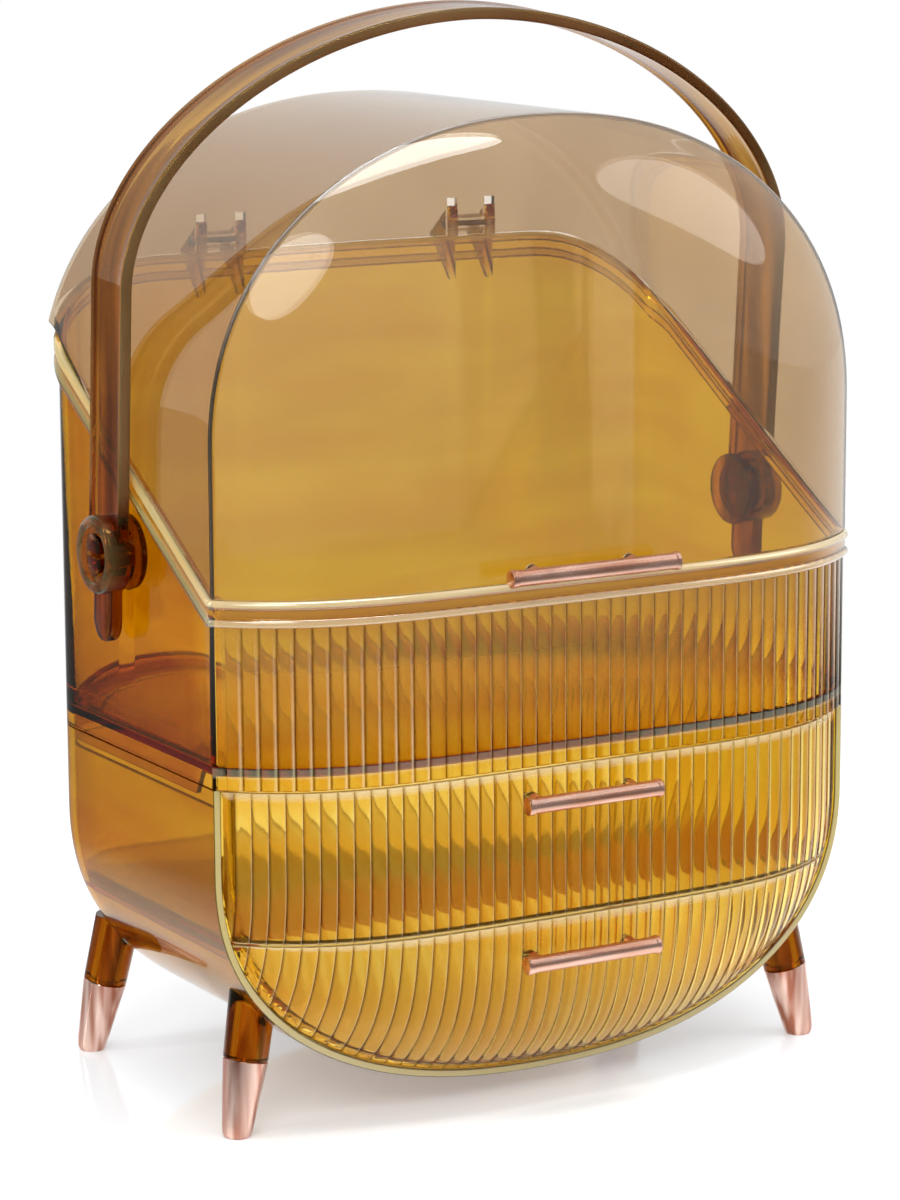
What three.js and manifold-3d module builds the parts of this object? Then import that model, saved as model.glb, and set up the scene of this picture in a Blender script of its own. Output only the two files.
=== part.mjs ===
// Desktop cosmetics organizer: a reeded tray under a clear flip lid, standing on a round-bellied
// cabinet with two drawers and four splayed legs, and carried by a tall hoop handle.
// Millimetres, +Z up, the front faces -Y and +X is to the right.
// While modelling, y = 0 is the plane of the handle's pivots and z = 0 is the table.

import * as THREE from "three";
import { mergeVertices } from "three/addons/utils/BufferGeometryUtils.js";
import Module from "manifold-3d";

const wasm = await Module();
wasm.setup();

// Body, shared by the tray, the cabinet, the drawers and the lid
const bodyWidth = 290;
const bodyDepth = 156; // from the outer back face forward to the wall's front corners
const backReach = 80; // from the handle's pivots back to the outer back face
const frontBow = 30; // how far the middle of the front stands ahead of its corners
const bowPower = 4.8; // flat in the middle, turning quickly near the corners
const wallThickness = 3;
const backCornerRadius = 32;
const seamHeight = 141; // where the tray stands on the cabinet
const seatGap = 0.3; // between pieces that rest on each other
const runGap = 0.4; // between pieces that slide or turn on each other
const overrun = 50; // how far a cutting block reaches past what it cuts

// Belly of the cabinet
const bellyBottomHeight = 9;
const bellyCentreHeight = 108.5;
const bellyPower = 2.29;
const splitHeight = 80; // between the two drawer fronts
const splitGap = 1.2;
const shelfThickness = 2.5;
const ledgeWidth = 4;
const ledgeHeight = 2.5;

// Tray
const floorRise = 5.5; // from the seam up to the underside of the floor
const floorThickness = 3;
const rimFrontHeight = 214.5;
const rimShoulderHeight = 303; // where the slope of the side rims runs out, at the back
const rimBackHeight = 325.5;
const rimShoulderInset = 2; // the slope has run out this far ahead of the outer back face
const rimEaseLength = 16; // over this length it eases off
const rimCrestHalf = 85; // half the level stretch of the back rim
const rimCrestPower = 2.4; // how the back rim falls off from there to the sides
const collarHeight = 8.5;
const collarStep = 0.6; // how far the collar stands out of the wall
const beadRadius = 1.9;
const flangeWidth = 4.6;
const flangeThickness = 2.6;
const flangeCornerRadius = 34;
const lipHeight = 4.5;
const lipThickness = 2;
const lipStart = 16; // the lip's front ends, behind the wall's front corners

// Reeds of the three front faces
const reedCount = 44;
const reedDepth = 0.9;
const reedMargin = 5; // plain strip at each end of the reeds

// Drawers
const binThickness = 2.2;
const binTopDrop = 3; // from the tray's lip down to the upper bin's edge
const lowerBinDrop = 0.8; // from the shelf's ledges down to the lower bin's edge
const frontThickness = 2.6;
const frontRevealGap = 0.8; // from the shell's inner face to a drawer front
const frameWidth = 5;
const frameThickness = 2.8;

// Pull bars
const pullRadius = 3.3;
const drawerPullLength = 61;
const lidPullLength = 76;
const collarLength = 2.4;
const collarStepOut = 0.35;
const postRadius = 2.2;
const postLength = 5.5;
const postSpacing = 44;
const upperPullDrop = 12.4; // from the seam down to the upper drawer's pull
const lowerPullDrop = 15; // from the split down to the lower drawer's pull
const lidPullRise = 3.7; // from the front rim up to the lid's pull
const screwRadius = 1.2;
const screwHeadRadius = 2.7;
const screwHeadLength = 1.5;
const screwBite = 4.2; // how far the screw goes into the post

// Lid
const archTopHeight = 390;
const archCentreHeight = 270;
const archPower = 2.14;
const lidThickness = 2.4;
const lidBackRadius = 8;

// Lid hinges
const hingeSpacing = 118; // between the middles of the two hinges
const finSpacing = 18;
const finThickness = 4;
const finFrontInset = 4; // the fin's upright front edge, inside the outer back face
const finRise = 12.5; // from the back rim up to the fin's top
const finTipRadius = 2.2;
const finReach = 15; // how far the fin's foot reaches behind the outer back face
const finBracketDrop = 20; // how far the fin's bracket runs down the back wall
const hingeReach = 3; // the pin's axis, behind the outer back face
const hingeRise = 4.7; // from the back rim up to the pin's axis
const hingePinRadius = 1.7;
const hingePinHeadRadius = 2.6;
const hingePinHeadLength = 1.4;
const knuckleRadius = 3.5;
const finSlotGap = 3.2; // from the fin's top up to the top of its slot in the lid

// Handle
const pivotDrop = 39.61; // from the sloping rim down to the pivots
const handleSideGap = 3.4; // from the body's side to the hoop's inner face
const handleSpringHeight = 326;
const handleRise = 39.5; // from the lid's top up to the handle's
const handlePower = 1.9;
const handleThickness = 4.8;
const bandWidth = 28;
const bandEdge = 1.1; // bevel along the band's edges
const handleLeanAngle = THREE.MathUtils.degToRad(4);
const ringRadius = 15.5;
const ringProud = 4.8;
const ringRecessRadius = 11;
const ringRecessDepth = 3;
const tongueWidth = 17;
const tongueDrop = 35; // from the pivot down to the tongue's tip
const ringEdge = 1.2;

// Handle studs
const studRadius = 6;
const studFlangeRadius = 15;
const studFlangeThickness = 2.5;
const studHeadHeight = 17;
const studHeadWidth = 12;
const studHeadThickness = 2.2;
const studSlit = 2;
const studSlitDepth = 9;
const bossRadius = 12;

// Legs
const footInsetX = 12.4; // the middle of a foot, inside the body's side
const footInsetFront = 9.9; // the same behind the front corners
const footInsetBack = 13.9; // and ahead of the outer back face
const splayXShare = 0.2; // outward travel per unit of drop
const splayYShare = 0.1;
const tipLength = 30;
const tipEndRadius = 5.6;
const tipEndRound = 1.6;
const legJointRadius = 8.9;
const stemTopRadius = 10;
const stemTopHeight = 58;
const legStudRadius = 4;
const legStudSink = 0.6; // the stud's end stays this far below the shell's inner face

// How far a bowed sheet is carried past its edge before it is trimmed
const sheetEdgeShare = 1.25;

// Facet counts
const beltSteps = 14; // steps along each quarter of the belly and of the arch
const domeColumns = 24;
const domeRows = 12;
const cornerSteps = 4;
const easeSteps = 4; // along the end of the side rim's slope
const crestSteps = 7; // across each side of the back rim
const reedSteps = 3; // facets across one reed
const roundSides = 18;
const smallSides = 12;
const beadSides = 6;
const beadSteps = 28; // along one side's half of the rim
const upperRowCount = 2;
const lowerRowCount = 7;

// Places worked out from the sizes above
const halfBody = bodyWidth / 2;
const frontCornerReach = bodyDepth - backReach;
const frontCornerY = -frontCornerReach;
const rimEaseStart = backReach - rimShoulderInset - rimEaseLength;
const rimCrestFar = halfBody - flangeWidth;
const footX = halfBody - footInsetX;
const frontY = frontCornerY - frontBow;
const bellyDrop = bellyCentreHeight - bellyBottomHeight;
const archRise = archTopHeight - archCentreHeight;
const floorTop = seamHeight + floorRise + floorThickness;
const lipBottom = seamHeight - lipHeight;
const shelfTop = splitHeight - splitGap / 2;
const ledgeTop = shelfTop - shelfThickness - seatGap;
const binOffset = wallThickness + runGap;
const frontOffset = wallThickness + frontRevealGap;
const upperPullHeight = seamHeight - upperPullDrop;
const lowerPullHeight = splitHeight - lowerPullDrop;
const lidPullHeight = rimFrontHeight + lidPullRise;
const handleTopHeight = archTopHeight + handleRise;
const farFrontY = frontY - overrun;
const farBackY = backReach + overrun;
const farTop = handleTopHeight + overrun;
const hingeY = backReach + hingeReach;
const hingeHeight = rimBackHeight + hingeRise;
const finTopHeight = rimBackHeight + finRise;
const finSlotTop = finTopHeight + finSlotGap;
const pivotHeight = rimHeight(0) - pivotDrop;
const handleHalfWidth = halfBody + handleSideGap + handleThickness;
const binFrontY = frontCornerY + frameThickness + seatGap;
const shelfFrontY = frontCornerY + wallThickness + runGap;
const lidEdgeY = frontCornerY - seatGap;
const drawerReach = (x, z) => bellyReach(x, z, frontOffset);
const lidReach = (x, z) => archReach(x, z, 0);

// Solids: a closed three.js geometry becomes a manifold, and back
function solid(geometry) {
  const bare = geometry.clone();
  bare.deleteAttribute("normal");
  bare.deleteAttribute("uv");
  const merged = mergeVertices(bare);
  return new wasm.Manifold(
    new wasm.Mesh({
      numProp: 3,
      vertProperties: new Float32Array(merged.attributes.position.array),
      triVerts: new Uint32Array(merged.index.array),
    })
  );
}

function geometryOf(body) {
  const raw = body.getMesh();
  const geometry = new THREE.BufferGeometry();
  geometry.setAttribute("position", new THREE.BufferAttribute(new Float32Array(raw.vertProperties), 3));
  geometry.setIndex(new THREE.BufferAttribute(new Uint32Array(raw.triVerts), 1));
  const flat = geometry.toNonIndexed();
  flat.computeVertexNormals();
  return flat;
}

function joined(bodies) {
  return bodies.reduce((sum, body) => sum.add(body));
}

// A block between two corners
function block(x0, x1, y0, y1, z0, z1) {
  const box = new THREE.BoxGeometry(x1 - x0, y1 - y0, z1 - z0);
  box.translate((x0 + x1) / 2, (y0 + y1) / 2, (z0 + z1) / 2);
  return solid(box);
}

// The part of a solid between two heights
function between(body, z0, z1) {
  return body.intersect(block(-bodyWidth, bodyWidth, farFrontY, farBackY, z0, z1));
}

// The part of a solid behind a plane square to Y
function behind(body, y0) {
  return body.intersect(block(-bodyWidth, bodyWidth, y0, farBackY, -overrun, farTop));
}

// A shape drawn in x and z, run along Y from y0 back to y1, its back edge rounded
function alongY(shape, y0, y1, backRadius) {
  const geometry = new THREE.ExtrudeGeometry(shape, {
    depth: y1 - y0 - backRadius,
    bevelEnabled: backRadius > 0,
    bevelThickness: backRadius,
    bevelSize: backRadius,
    bevelOffset: -backRadius,
    bevelSegments: cornerSteps,
    steps: 1,
  });
  geometry.rotateX(Math.PI / 2);
  geometry.translate(0, y1 - backRadius, 0);
  const body = solid(geometry);
  return backRadius > 0 ? behind(body, y0) : body;
}

// A shape drawn in y and z, run along X from x0 to x1
function alongX(shape, x0, x1, bevel = 0) {
  const geometry = new THREE.ExtrudeGeometry(shape, {
    depth: x1 - x0 - 2 * bevel,
    bevelEnabled: bevel > 0,
    bevelThickness: bevel,
    bevelSize: bevel,
    bevelOffset: -bevel,
    bevelSegments: 2,
    steps: 1,
  });
  geometry.rotateX(Math.PI / 2);
  geometry.rotateZ(Math.PI / 2);
  geometry.translate(x0 + bevel, 0, 0);
  return solid(geometry);
}

// A shape drawn in x and y, stood up from z0 to z1
function alongZ(shape, z0, z1) {
  const geometry = new THREE.ExtrudeGeometry(shape, { depth: z1 - z0, bevelEnabled: false, steps: 1 });
  geometry.translate(0, 0, z0);
  return solid(geometry);
}

// A round bar along X, Y or Z between two stations
function bar(axis, radius, from, to, facets = smallSides) {
  const geometry = new THREE.CylinderGeometry(radius, radius, to - from, facets);
  geometry.translate(0, (from + to) / 2, 0);
  if (axis === "x") geometry.rotateZ(-Math.PI / 2);
  if (axis === "z") geometry.rotateX(Math.PI / 2);
  return solid(geometry);
}

// Belly outline in x and z: straight sides, then a full round bottom, drawn in by inset
function bellyShape(inset) {
  const half = halfBody - inset;
  const drop = bellyDrop - inset;
  const points = [new THREE.Vector2(half, seamHeight + overrun)];
  for (let i = 0; i <= 2 * beltSteps; i += 1) {
    const turn = (i / beltSteps) * (Math.PI / 2);
    const across = Math.cos(turn);
    const x = half * Math.sign(across) * Math.abs(across) ** (2 / bellyPower);
    const z = bellyCentreHeight - drop * Math.sin(turn) ** (2 / bellyPower);
    points.push(new THREE.Vector2(i === beltSteps ? 0 : x, z));
  }
  points.push(new THREE.Vector2(-half, seamHeight + overrun));
  return new THREE.Shape(points);
}

// The cabinet's outer form drawn in by inset at its sides, bottom and back
function bellyBlock(inset) {
  return alongY(bellyShape(inset), farFrontY, backReach - inset, backCornerRadius - inset);
}

// Arch outline of the lid in x and z, drawn in by inset
function archShape(inset) {
  const half = halfBody - inset;
  const rise = archRise - inset;
  const points = [new THREE.Vector2(-half, seamHeight)];
  for (let i = 0; i <= 2 * beltSteps; i += 1) {
    const turn = (i / beltSteps) * (Math.PI / 2);
    const across = -Math.cos(turn);
    const x = half * Math.sign(across) * Math.abs(across) ** (2 / archPower);
    const z = archCentreHeight + rise * Math.sin(turn) ** (2 / archPower);
    points.push(new THREE.Vector2(i === beltSteps ? 0 : x, z));
  }
  points.push(new THREE.Vector2(half, seamHeight));
  return new THREE.Shape(points);
}

function archBlock(inset) {
  return alongY(archShape(inset), farFrontY, backReach - inset, lidBackRadius - inset);
}

// How far a point of the front stands ahead of the corners: r is 0 in the middle and 1 at the edge
function bowAt(r) {
  return frontBow * (1 - r ** bowPower);
}

// Share of the way from the middle to the edge, for the belly below and the arch above
function bellyReach(x, z, inset) {
  const half = halfBody - inset;
  const below = Math.max(0, bellyCentreHeight - z) / (bellyDrop - inset);
  return ((Math.abs(x) / half) ** bellyPower + below ** bellyPower) ** (1 / bellyPower);
}

function archReach(x, z, inset) {
  const half = halfBody - inset;
  const above = Math.max(0, z - archCentreHeight) / (archRise - inset);
  return ((Math.abs(x) / half) ** archPower + above ** archPower) ** (1 / archPower);
}

// The bowed front line of the body in plan
class BowCurve extends THREE.Curve {
  constructor(half) {
    super();
    this.half = half;
  }
  getPoint(t, target = new THREE.Vector3()) {
    const across = 2 * t - 1;
    return target.set(across * this.half, frontCornerY - bowAt(Math.abs(across)), 0);
  }
}

// Depth of the reeds' surface below their crests at one step of their pattern
function reedSink(step) {
  const across = ((step % reedSteps) / reedSteps) * 2 - 1;
  return reedDepth * (1 - Math.sqrt(1 - across ** 2));
}

// Stations across the reeds, evenly spaced along the bow, with a plain margin at each end
function reedStations(half) {
  const curve = new BowCurve(half);
  const length = curve.getLength();
  const start = reedMargin / length;
  const steps = reedCount * reedSteps;
  const stations = [{ x: -half, sink: 0 }];
  for (let i = 0; i <= steps; i += 1) {
    const along = start + (1 - 2 * start) * (i / steps);
    stations.push({ x: curve.getPointAt(along).x, sink: reedSink(i) });
  }
  stations.push({ x: half, sink: 0 });
  return stations;
}

// Tray outline in x and y, drawn in by inset; the front is plain or reeded
function planShape(inset, cornerRadius, reeded) {
  const half = halfBody - inset;
  const back = backReach - inset;
  const points = [];
  if (reeded) {
    for (const station of reedStations(half)) {
      const y = frontCornerY - bowAt(Math.abs(station.x) / half) + station.sink;
      points.push(new THREE.Vector2(station.x, y));
    }
  } else {
    const curve = new BowCurve(half);
    for (let i = 0; i <= 2 * beltSteps; i += 1) {
      const point = curve.getPointAt(i / (2 * beltSteps));
      points.push(new THREE.Vector2(point.x, point.y + inset));
    }
  }
  for (let i = 0; i <= cornerSteps; i += 1) {
    const turn = (i / cornerSteps) * (Math.PI / 2);
    const x = half - cornerRadius + cornerRadius * Math.cos(turn);
    const y = back - cornerRadius + cornerRadius * Math.sin(turn);
    points.push(new THREE.Vector2(x, y));
  }
  for (let i = cornerSteps; i >= 0; i -= 1) {
    const turn = (i / cornerSteps) * (Math.PI / 2);
    const x = -(half - cornerRadius + cornerRadius * Math.cos(turn));
    const y = back - cornerRadius + cornerRadius * Math.sin(turn);
    points.push(new THREE.Vector2(x, y));
  }
  return new THREE.Shape(points);
}

// Height of the tray's side rim at a depth: level in front, then sloping up and easing off at the back
function rimHeight(y) {
  const easing = THREE.MathUtils.clamp(y - rimEaseStart, 0, rimEaseLength);
  const straight = THREE.MathUtils.clamp(y, frontCornerY, rimEaseStart) - frontCornerY;
  const slope = (rimShoulderHeight - rimFrontHeight) / (rimEaseStart - frontCornerY + rimEaseLength / 2);
  return rimFrontHeight + slope * (straight + easing - easing ** 2 / (2 * rimEaseLength));
}

// How much higher the back rim stands than the side rims' ends, across the width
function backLift(x) {
  const span = rimCrestFar - rimCrestHalf;
  const past = THREE.MathUtils.clamp((Math.abs(x) - rimCrestHalf) / span, 0, 1);
  return (rimBackHeight - rimShoulderHeight) * (1 - past ** rimCrestPower);
}

// The side rim's line seen from the side, moved square to itself by rise
function rimLine(rise) {
  const stations = [farFrontY, frontCornerY];
  for (let i = 0; i <= easeSteps; i += 1) stations.push(rimEaseStart + rimEaseLength * (i / easeSteps));
  stations.push(farBackY);
  const line = stations.map((y) => new THREE.Vector2(y, rimHeight(y)));
  const last = line.length - 1;
  const moved = [new THREE.Vector2(farFrontY, rimFrontHeight + rise)];
  for (let i = 1; i < last; i += 1) {
    const before = line[i].clone().sub(line[i - 1]).normalize();
    const after = line[i + 1].clone().sub(line[i]).normalize();
    const along = before.add(after).normalize();
    const reach = rise / along.dot(after);
    moved.push(new THREE.Vector2(line[i].x - along.y * reach, line[i].y + along.x * reach));
  }
  moved.push(new THREE.Vector2(farBackY, rimShoulderHeight + rise));
  return moved;
}

// A block between two such lines, its back raised to the back rim
function rimBlock(top, bottom) {
  const stations = [bodyWidth];
  for (let i = 0; i <= crestSteps; i += 1) {
    stations.push(THREE.MathUtils.lerp(rimCrestFar, rimCrestHalf, i / crestSteps));
  }
  const places = [...stations.map((x) => -x), ...stations.reverse()];
  const across = places.length - 1;
  const along = top.length - 1;
  const geometry = new THREE.BoxGeometry(across, along, 1, across, along, 1);
  const corner = geometry.attributes.position;
  for (let i = 0; i < corner.count; i += 1) {
    const x = places[Math.round(corner.getX(i) + across / 2)];
    const step = Math.round(corner.getY(i) + along / 2);
    const point = corner.getZ(i) > 0 ? top[step] : bottom[step];
    const lift = step > 1 ? backLift(x) : 0;
    corner.setXYZ(i, x, point.x, point.y + lift);
  }
  return solid(geometry);
}

// Everything between two copies of the rim, or below one of them
function rimLayer(topRise, bottomRise) {
  return rimBlock(rimLine(topRise), rimLine(bottomRise));
}

function underRim(rise) {
  const top = rimLine(rise);
  return rimBlock(top, top.map((point) => new THREE.Vector2(point.x, -overrun)));
}

// Height of the rim over one point of the plan, from its line moved by some rise
function heightOver(line, point) {
  const next = Math.max(1, line.findIndex((station) => station.x >= point.y));
  const a = line[next - 1];
  const b = line[next];
  const share = (point.y - a.x) / (b.x - a.x);
  const behindSlope = THREE.MathUtils.clamp(next - 2 + share, 0, 1);
  return THREE.MathUtils.lerp(a.y, b.y, share) + behindSlope * backLift(point.x);
}

// One side's half of the round bead along the tray's wall, a given drop below the rim line
function halfBead(side, drop) {
  const line = rimLine(-drop);
  const outline = planShape(0, backCornerRadius, false).getPoints();
  const right = outline.filter((p) => p.x > beadRadius);
  const front = new THREE.Vector2(-beadRadius, frontY);
  const back = new THREE.Vector2(-beadRadius, backReach);
  const route = [front, ...right, back];
  const points = route.map((p) => new THREE.Vector3(side * p.x, p.y, heightOver(line, p)));
  const path = new THREE.CurvePath();
  for (let i = 1; i < points.length; i += 1) path.add(new THREE.LineCurve3(points[i - 1], points[i]));
  const section = [];
  for (let i = 0; i < beadSides; i += 1) {
    const turn = (i / beadSides) * 2 * Math.PI;
    section.push(new THREE.Vector2(beadRadius * Math.cos(turn), beadRadius * Math.sin(turn)));
  }
  const geometry = new THREE.ExtrudeGeometry(new THREE.Shape(section), {
    extrudePath: path,
    steps: beadSteps,
    bevelEnabled: false,
  });
  return solid(geometry).intersect(underRim(0));
}

// Two sides, -1 for the left and 1 for the right
const sides = [-1, 1];

// A bar along X on one side of the body, between two distances from the middle
function sideBar(side, radius, near, far, y, z, facets = roundSides) {
  const body = bar("x", radius, Math.min(side * near, side * far), Math.max(side * near, side * far), facets);
  return body.translate([0, y, z]);
}

// A bar along Y at one place of the front
function frontBar(radius, x, z, y0, y1) {
  return bar("y", radius, y0, y1).translate([x, 0, z]);
}

// Four legs, named by the side and the end of the body that they stand under
const corners = [
  { name: "front_left", x: -1, y: -1, footY: frontCornerY + footInsetFront },
  { name: "front_right", x: 1, y: -1, footY: frontCornerY + footInsetFront },
  { name: "back_left", x: -1, y: 1, footY: backReach - footInsetBack },
  { name: "back_right", x: 1, y: 1, footY: backReach - footInsetBack },
];

// Turns a shape made along +Z into a leg's own splayed direction, from its foot
function stoodOnFoot(geometry, corner) {
  const up = new THREE.Vector3(-corner.x * splayXShare, -corner.y * splayYShare, 1).normalize();
  const turn = new THREE.Quaternion().setFromUnitVectors(new THREE.Vector3(0, 0, 1), up);
  geometry.applyQuaternion(turn);
  geometry.translate(corner.x * footX, corner.footY, 0);
  return solid(geometry);
}

function legBar(corner, fromRadius, toRadius, from, to) {
  const geometry = new THREE.CylinderGeometry(toRadius, fromRadius, to - from, roundSides);
  geometry.translate(0, (from + to) / 2, 0);
  geometry.rotateX(Math.PI / 2);
  return stoodOnFoot(geometry, corner);
}

// Metal tip with the long stud that runs up through the stem and screws into the shell
function legTip(corner) {
  const profile = [
    new THREE.Vector2(0, -tipEndRound),
    new THREE.Vector2(tipEndRadius - tipEndRound, -tipEndRound),
    new THREE.Vector2(tipEndRadius, tipEndRound),
    new THREE.Vector2(legJointRadius, tipLength),
    new THREE.Vector2(0, tipLength),
  ];
  const geometry = new THREE.LatheGeometry(profile, roundSides);
  geometry.rotateX(Math.PI / 2);
  const stud = legBar(corner, legStudRadius, legStudRadius, tipLength - legStudRadius, seamHeight);
  const body = stoodOnFoot(geometry, corner).add(stud).subtract(bellyBlock(wallThickness - legStudSink));
  return between(body, 0, seamHeight / 2);
}

// Plastic stem, its top cut to the belly
function legStem(corner) {
  const cone = legBar(corner, legJointRadius, stemTopRadius, tipLength + seatGap, stemTopHeight + tipLength);
  const bore = legBar(corner, legStudRadius + seatGap, legStudRadius + seatGap, 0, seamHeight);
  return between(cone.subtract(bore).subtract(bellyBlock(-seatGap)), 0, stemTopHeight);
}

// Cabinet shell: walls, belly and back in one piece, open at its front and top, with two ledges
function cabinetShell() {
  const walls = between(bellyBlock(0).subtract(bellyBlock(wallThickness)), 0, seamHeight);
  const rib = bellyBlock(wallThickness / 2).subtract(bellyBlock(wallThickness + ledgeWidth));
  const ledges = behind(between(rib, ledgeTop - ledgeHeight, ledgeTop), shelfFrontY);
  let shell = behind(walls, frontCornerY).add(ledges);
  for (const corner of corners) {
    shell = shell.subtract(legBar(corner, legStudRadius + seatGap, legStudRadius + seatGap, 0, splitHeight));
  }
  return shell;
}

// Shelf between the drawers, lying on the ledges
function midShelf() {
  const slab = between(bellyBlock(wallThickness + seatGap), shelfTop - shelfThickness, shelfTop);
  return behind(slab, shelfFrontY);
}

// Fin of a hinge: upright in front, sloping behind, with a bracket down the back wall
function hingeFin(x) {
  const front = backReach - finFrontInset;
  const wallMiddle = backReach - wallThickness / 2;
  const shape = new THREE.Shape();
  shape.moveTo(front, rimBackHeight - flangeThickness);
  shape.lineTo(front, finTopHeight - finTipRadius);
  shape.quadraticCurveTo(front, finTopHeight, front + finTipRadius, finTopHeight);
  shape.lineTo(front + 2 * finTipRadius, finTopHeight - finTipRadius / 2);
  shape.lineTo(backReach + finReach, rimBackHeight);
  shape.lineTo(wallMiddle, rimBackHeight - finBracketDrop);
  shape.lineTo(wallMiddle, rimBackHeight - flangeThickness);
  return alongX(shape, x - finThickness / 2, x + finThickness / 2);
}

function finPlaces() {
  const places = [];
  for (const side of sides) {
    for (const end of sides) places.push((side * hingeSpacing) / 2 + (end * finSpacing) / 2);
  }
  return places;
}

// Tray: reeded front, plain sides and back, floor, locating lip, beaded rim, hinge fins, pivot bosses
function upperTray() {
  const wallShape = planShape(wallThickness, backCornerRadius - wallThickness, false);
  const outer = alongZ(planShape(0, backCornerRadius, true), seamHeight + seatGap, farTop);
  const hollow = alongZ(wallShape, floorTop, farTop);
  const recess = alongZ(wallShape, 0, seamHeight + floorRise);
  const walls = outer.subtract(hollow).subtract(recess).intersect(underRim(-collarHeight));
  const collarShape = planShape(-collarStep, backCornerRadius + collarStep, false);
  const collar = alongZ(collarShape, floorTop, farTop).subtract(hollow);
  const flangeShape = planShape(flangeWidth, flangeCornerRadius, false);
  const rimShape = planShape(0, backCornerRadius, false);
  const flange = alongZ(rimShape, floorTop, farTop).subtract(alongZ(flangeShape, 0, farTop));
  const lipInset = wallThickness + seatGap;
  const lipRing = bellyBlock(lipInset).subtract(bellyBlock(lipInset + lipThickness));
  const parts = [
    walls,
    collar.intersect(rimLayer(0, -collarHeight - beadRadius)),
    flange.intersect(rimLayer(0, -flangeThickness)),
    behind(between(lipRing, lipBottom, floorTop - seatGap), frontCornerY + lipStart),
  ];
  const bossEnd = handleHalfWidth - handleThickness - seatGap;
  for (const side of sides) {
    parts.push(halfBead(side, beadRadius));
    parts.push(halfBead(side, collarHeight));
    parts.push(sideBar(side, bossRadius, halfBody - wallThickness / 2, bossEnd, 0, pivotHeight));
  }
  for (const x of finPlaces()) parts.push(hingeFin(x));
  let tray = joined(parts);
  for (const side of sides) {
    const hole = studRadius + seatGap;
    tray = tray.subtract(sideBar(side, hole, halfBody - overrun, halfBody + overrun, 0, pivotHeight));
  }
  const pinHole = bar("x", hingePinRadius + seatGap, -bodyWidth, bodyWidth);
  return tray.subtract(pinHole.translate([0, hingeY, hingeHeight]));
}

// Stations across a plain bow, with one more far outside at each end
function plainStations(half) {
  const curve = new BowCurve(half);
  const stations = [{ x: -half - overrun, sink: 0 }];
  for (let i = 0; i <= domeColumns; i += 1) {
    stations.push({ x: curve.getPointAt(i / domeColumns).x, sink: 0 });
  }
  stations.push({ x: half + overrun, sink: 0 });
  return stations;
}

// A block with a bowed front face: reach gives 0 in the middle of the front and 1 at its edge
function bowedBlock(stations, rows, reach, edgeY) {
  const across = stations.length - 1;
  const up = rows.length - 1;
  const geometry = new THREE.BoxGeometry(across, 1, up, across, 1, up);
  const place = geometry.attributes.position;
  for (let i = 0; i < place.count; i += 1) {
    const station = stations[Math.round(place.getX(i) + across / 2)];
    const z = rows[Math.round(place.getZ(i) + up / 2)];
    const surface = edgeY - bowAt(Math.min(reach(station.x, z), sheetEdgeShare));
    place.setXYZ(i, station.x, place.getY(i) < 0 ? surface + station.sink : backReach, z);
  }
  return solid(geometry);
}

// A bowed sheet: the block under its outer face less the block under its inner face
function bowedSheet(stations, half, rows, reach, thickness, edgeY) {
  const innerRows = [rows[0] - overrun, ...rows, rows[rows.length - 1] + overrun];
  const inner = bowedBlock(plainStations(half), innerRows, reach, edgeY + thickness);
  return bowedBlock(stations, rows, reach, edgeY).subtract(inner);
}

// Rows of heights, evenly spaced or crowding toward the bottom
function evenRows(z0, z1, count) {
  return Array.from({ length: count + 1 }, (_, i) => z0 + (z1 - z0) * (i / count));
}

function crowdedRows(z0, z1, count) {
  return evenRows(0, Math.PI / 2, count).map((turn) => z1 - (z1 - z0) * Math.cos(turn));
}

// Drawer front: reeded bowed sheet with a plain frame behind its edge
function drawerFront(z0, z1, rows) {
  const shape = bellyShape(frontOffset);
  const frameBack = frontCornerY + frameThickness;
  const half = halfBody - frontOffset;
  const sheet = bowedSheet(reedStations(half), half, rows, drawerReach, frontThickness, frontCornerY);
  const trimmed = sheet.intersect(alongY(shape, farFrontY, frameBack, 0));
  const window = alongY(bellyShape(frontOffset + frameWidth), farFrontY, farBackY, 0);
  const frame = alongY(shape, frontCornerY, frameBack, 0).subtract(window);
  return between(trimmed.add(frame), z0, z1);
}

// Where a pull's post meets its front, at a height
function pullFootY(reach, edgeY, height) {
  return edgeY - bowAt(reach(postSpacing / 2, height)) - seatGap;
}

// Pull bar: a round bar with end collars on two posts, bored for screws from behind
function pullBar(length, height, footY) {
  const barY = footY - postLength - pullRadius;
  const end = length / 2;
  const parts = [bar("x", pullRadius, -end, end, roundSides).translate([0, barY, height])];
  for (const side of sides) {
    const cap = sideBar(side, pullRadius + collarStepOut, end - collarLength, end, barY, height);
    parts.push(cap, frontBar(postRadius, (side * postSpacing) / 2, height, barY, footY));
  }
  let pull = joined(parts);
  for (const side of sides) {
    const x = (side * postSpacing) / 2;
    const boreEnd = footY - screwBite - seatGap;
    pull = pull.subtract(frontBar(screwRadius + seatGap, x, height, boreEnd, footY + overrun));
  }
  return pull;
}

// Where a screw's head rests behind a bowed sheet: the sheet is furthest back at the head's lower outer edge
function screwSeatY(reach, edgeY, height, thickness) {
  const edge = reach(postSpacing / 2 + screwHeadRadius, height - screwHeadRadius);
  return edgeY - bowAt(edge) + thickness + seatGap;
}

// Screw of a pull, its head behind the front sheet
function pullScrew(side, height, footY, seat) {
  const x = (side * postSpacing) / 2;
  const shank = frontBar(screwRadius, x, height, footY - screwBite, seat + screwHeadLength / 2);
  return shank.add(frontBar(screwHeadRadius, x, height, seat, seat + screwHeadLength));
}

function screwHoles(body, height) {
  let bored = body;
  for (const side of sides) {
    const x = (side * postSpacing) / 2;
    bored = bored.subtract(frontBar(screwRadius + seatGap, x, height, farFrontY, frontCornerY));
  }
  return bored;
}

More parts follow.
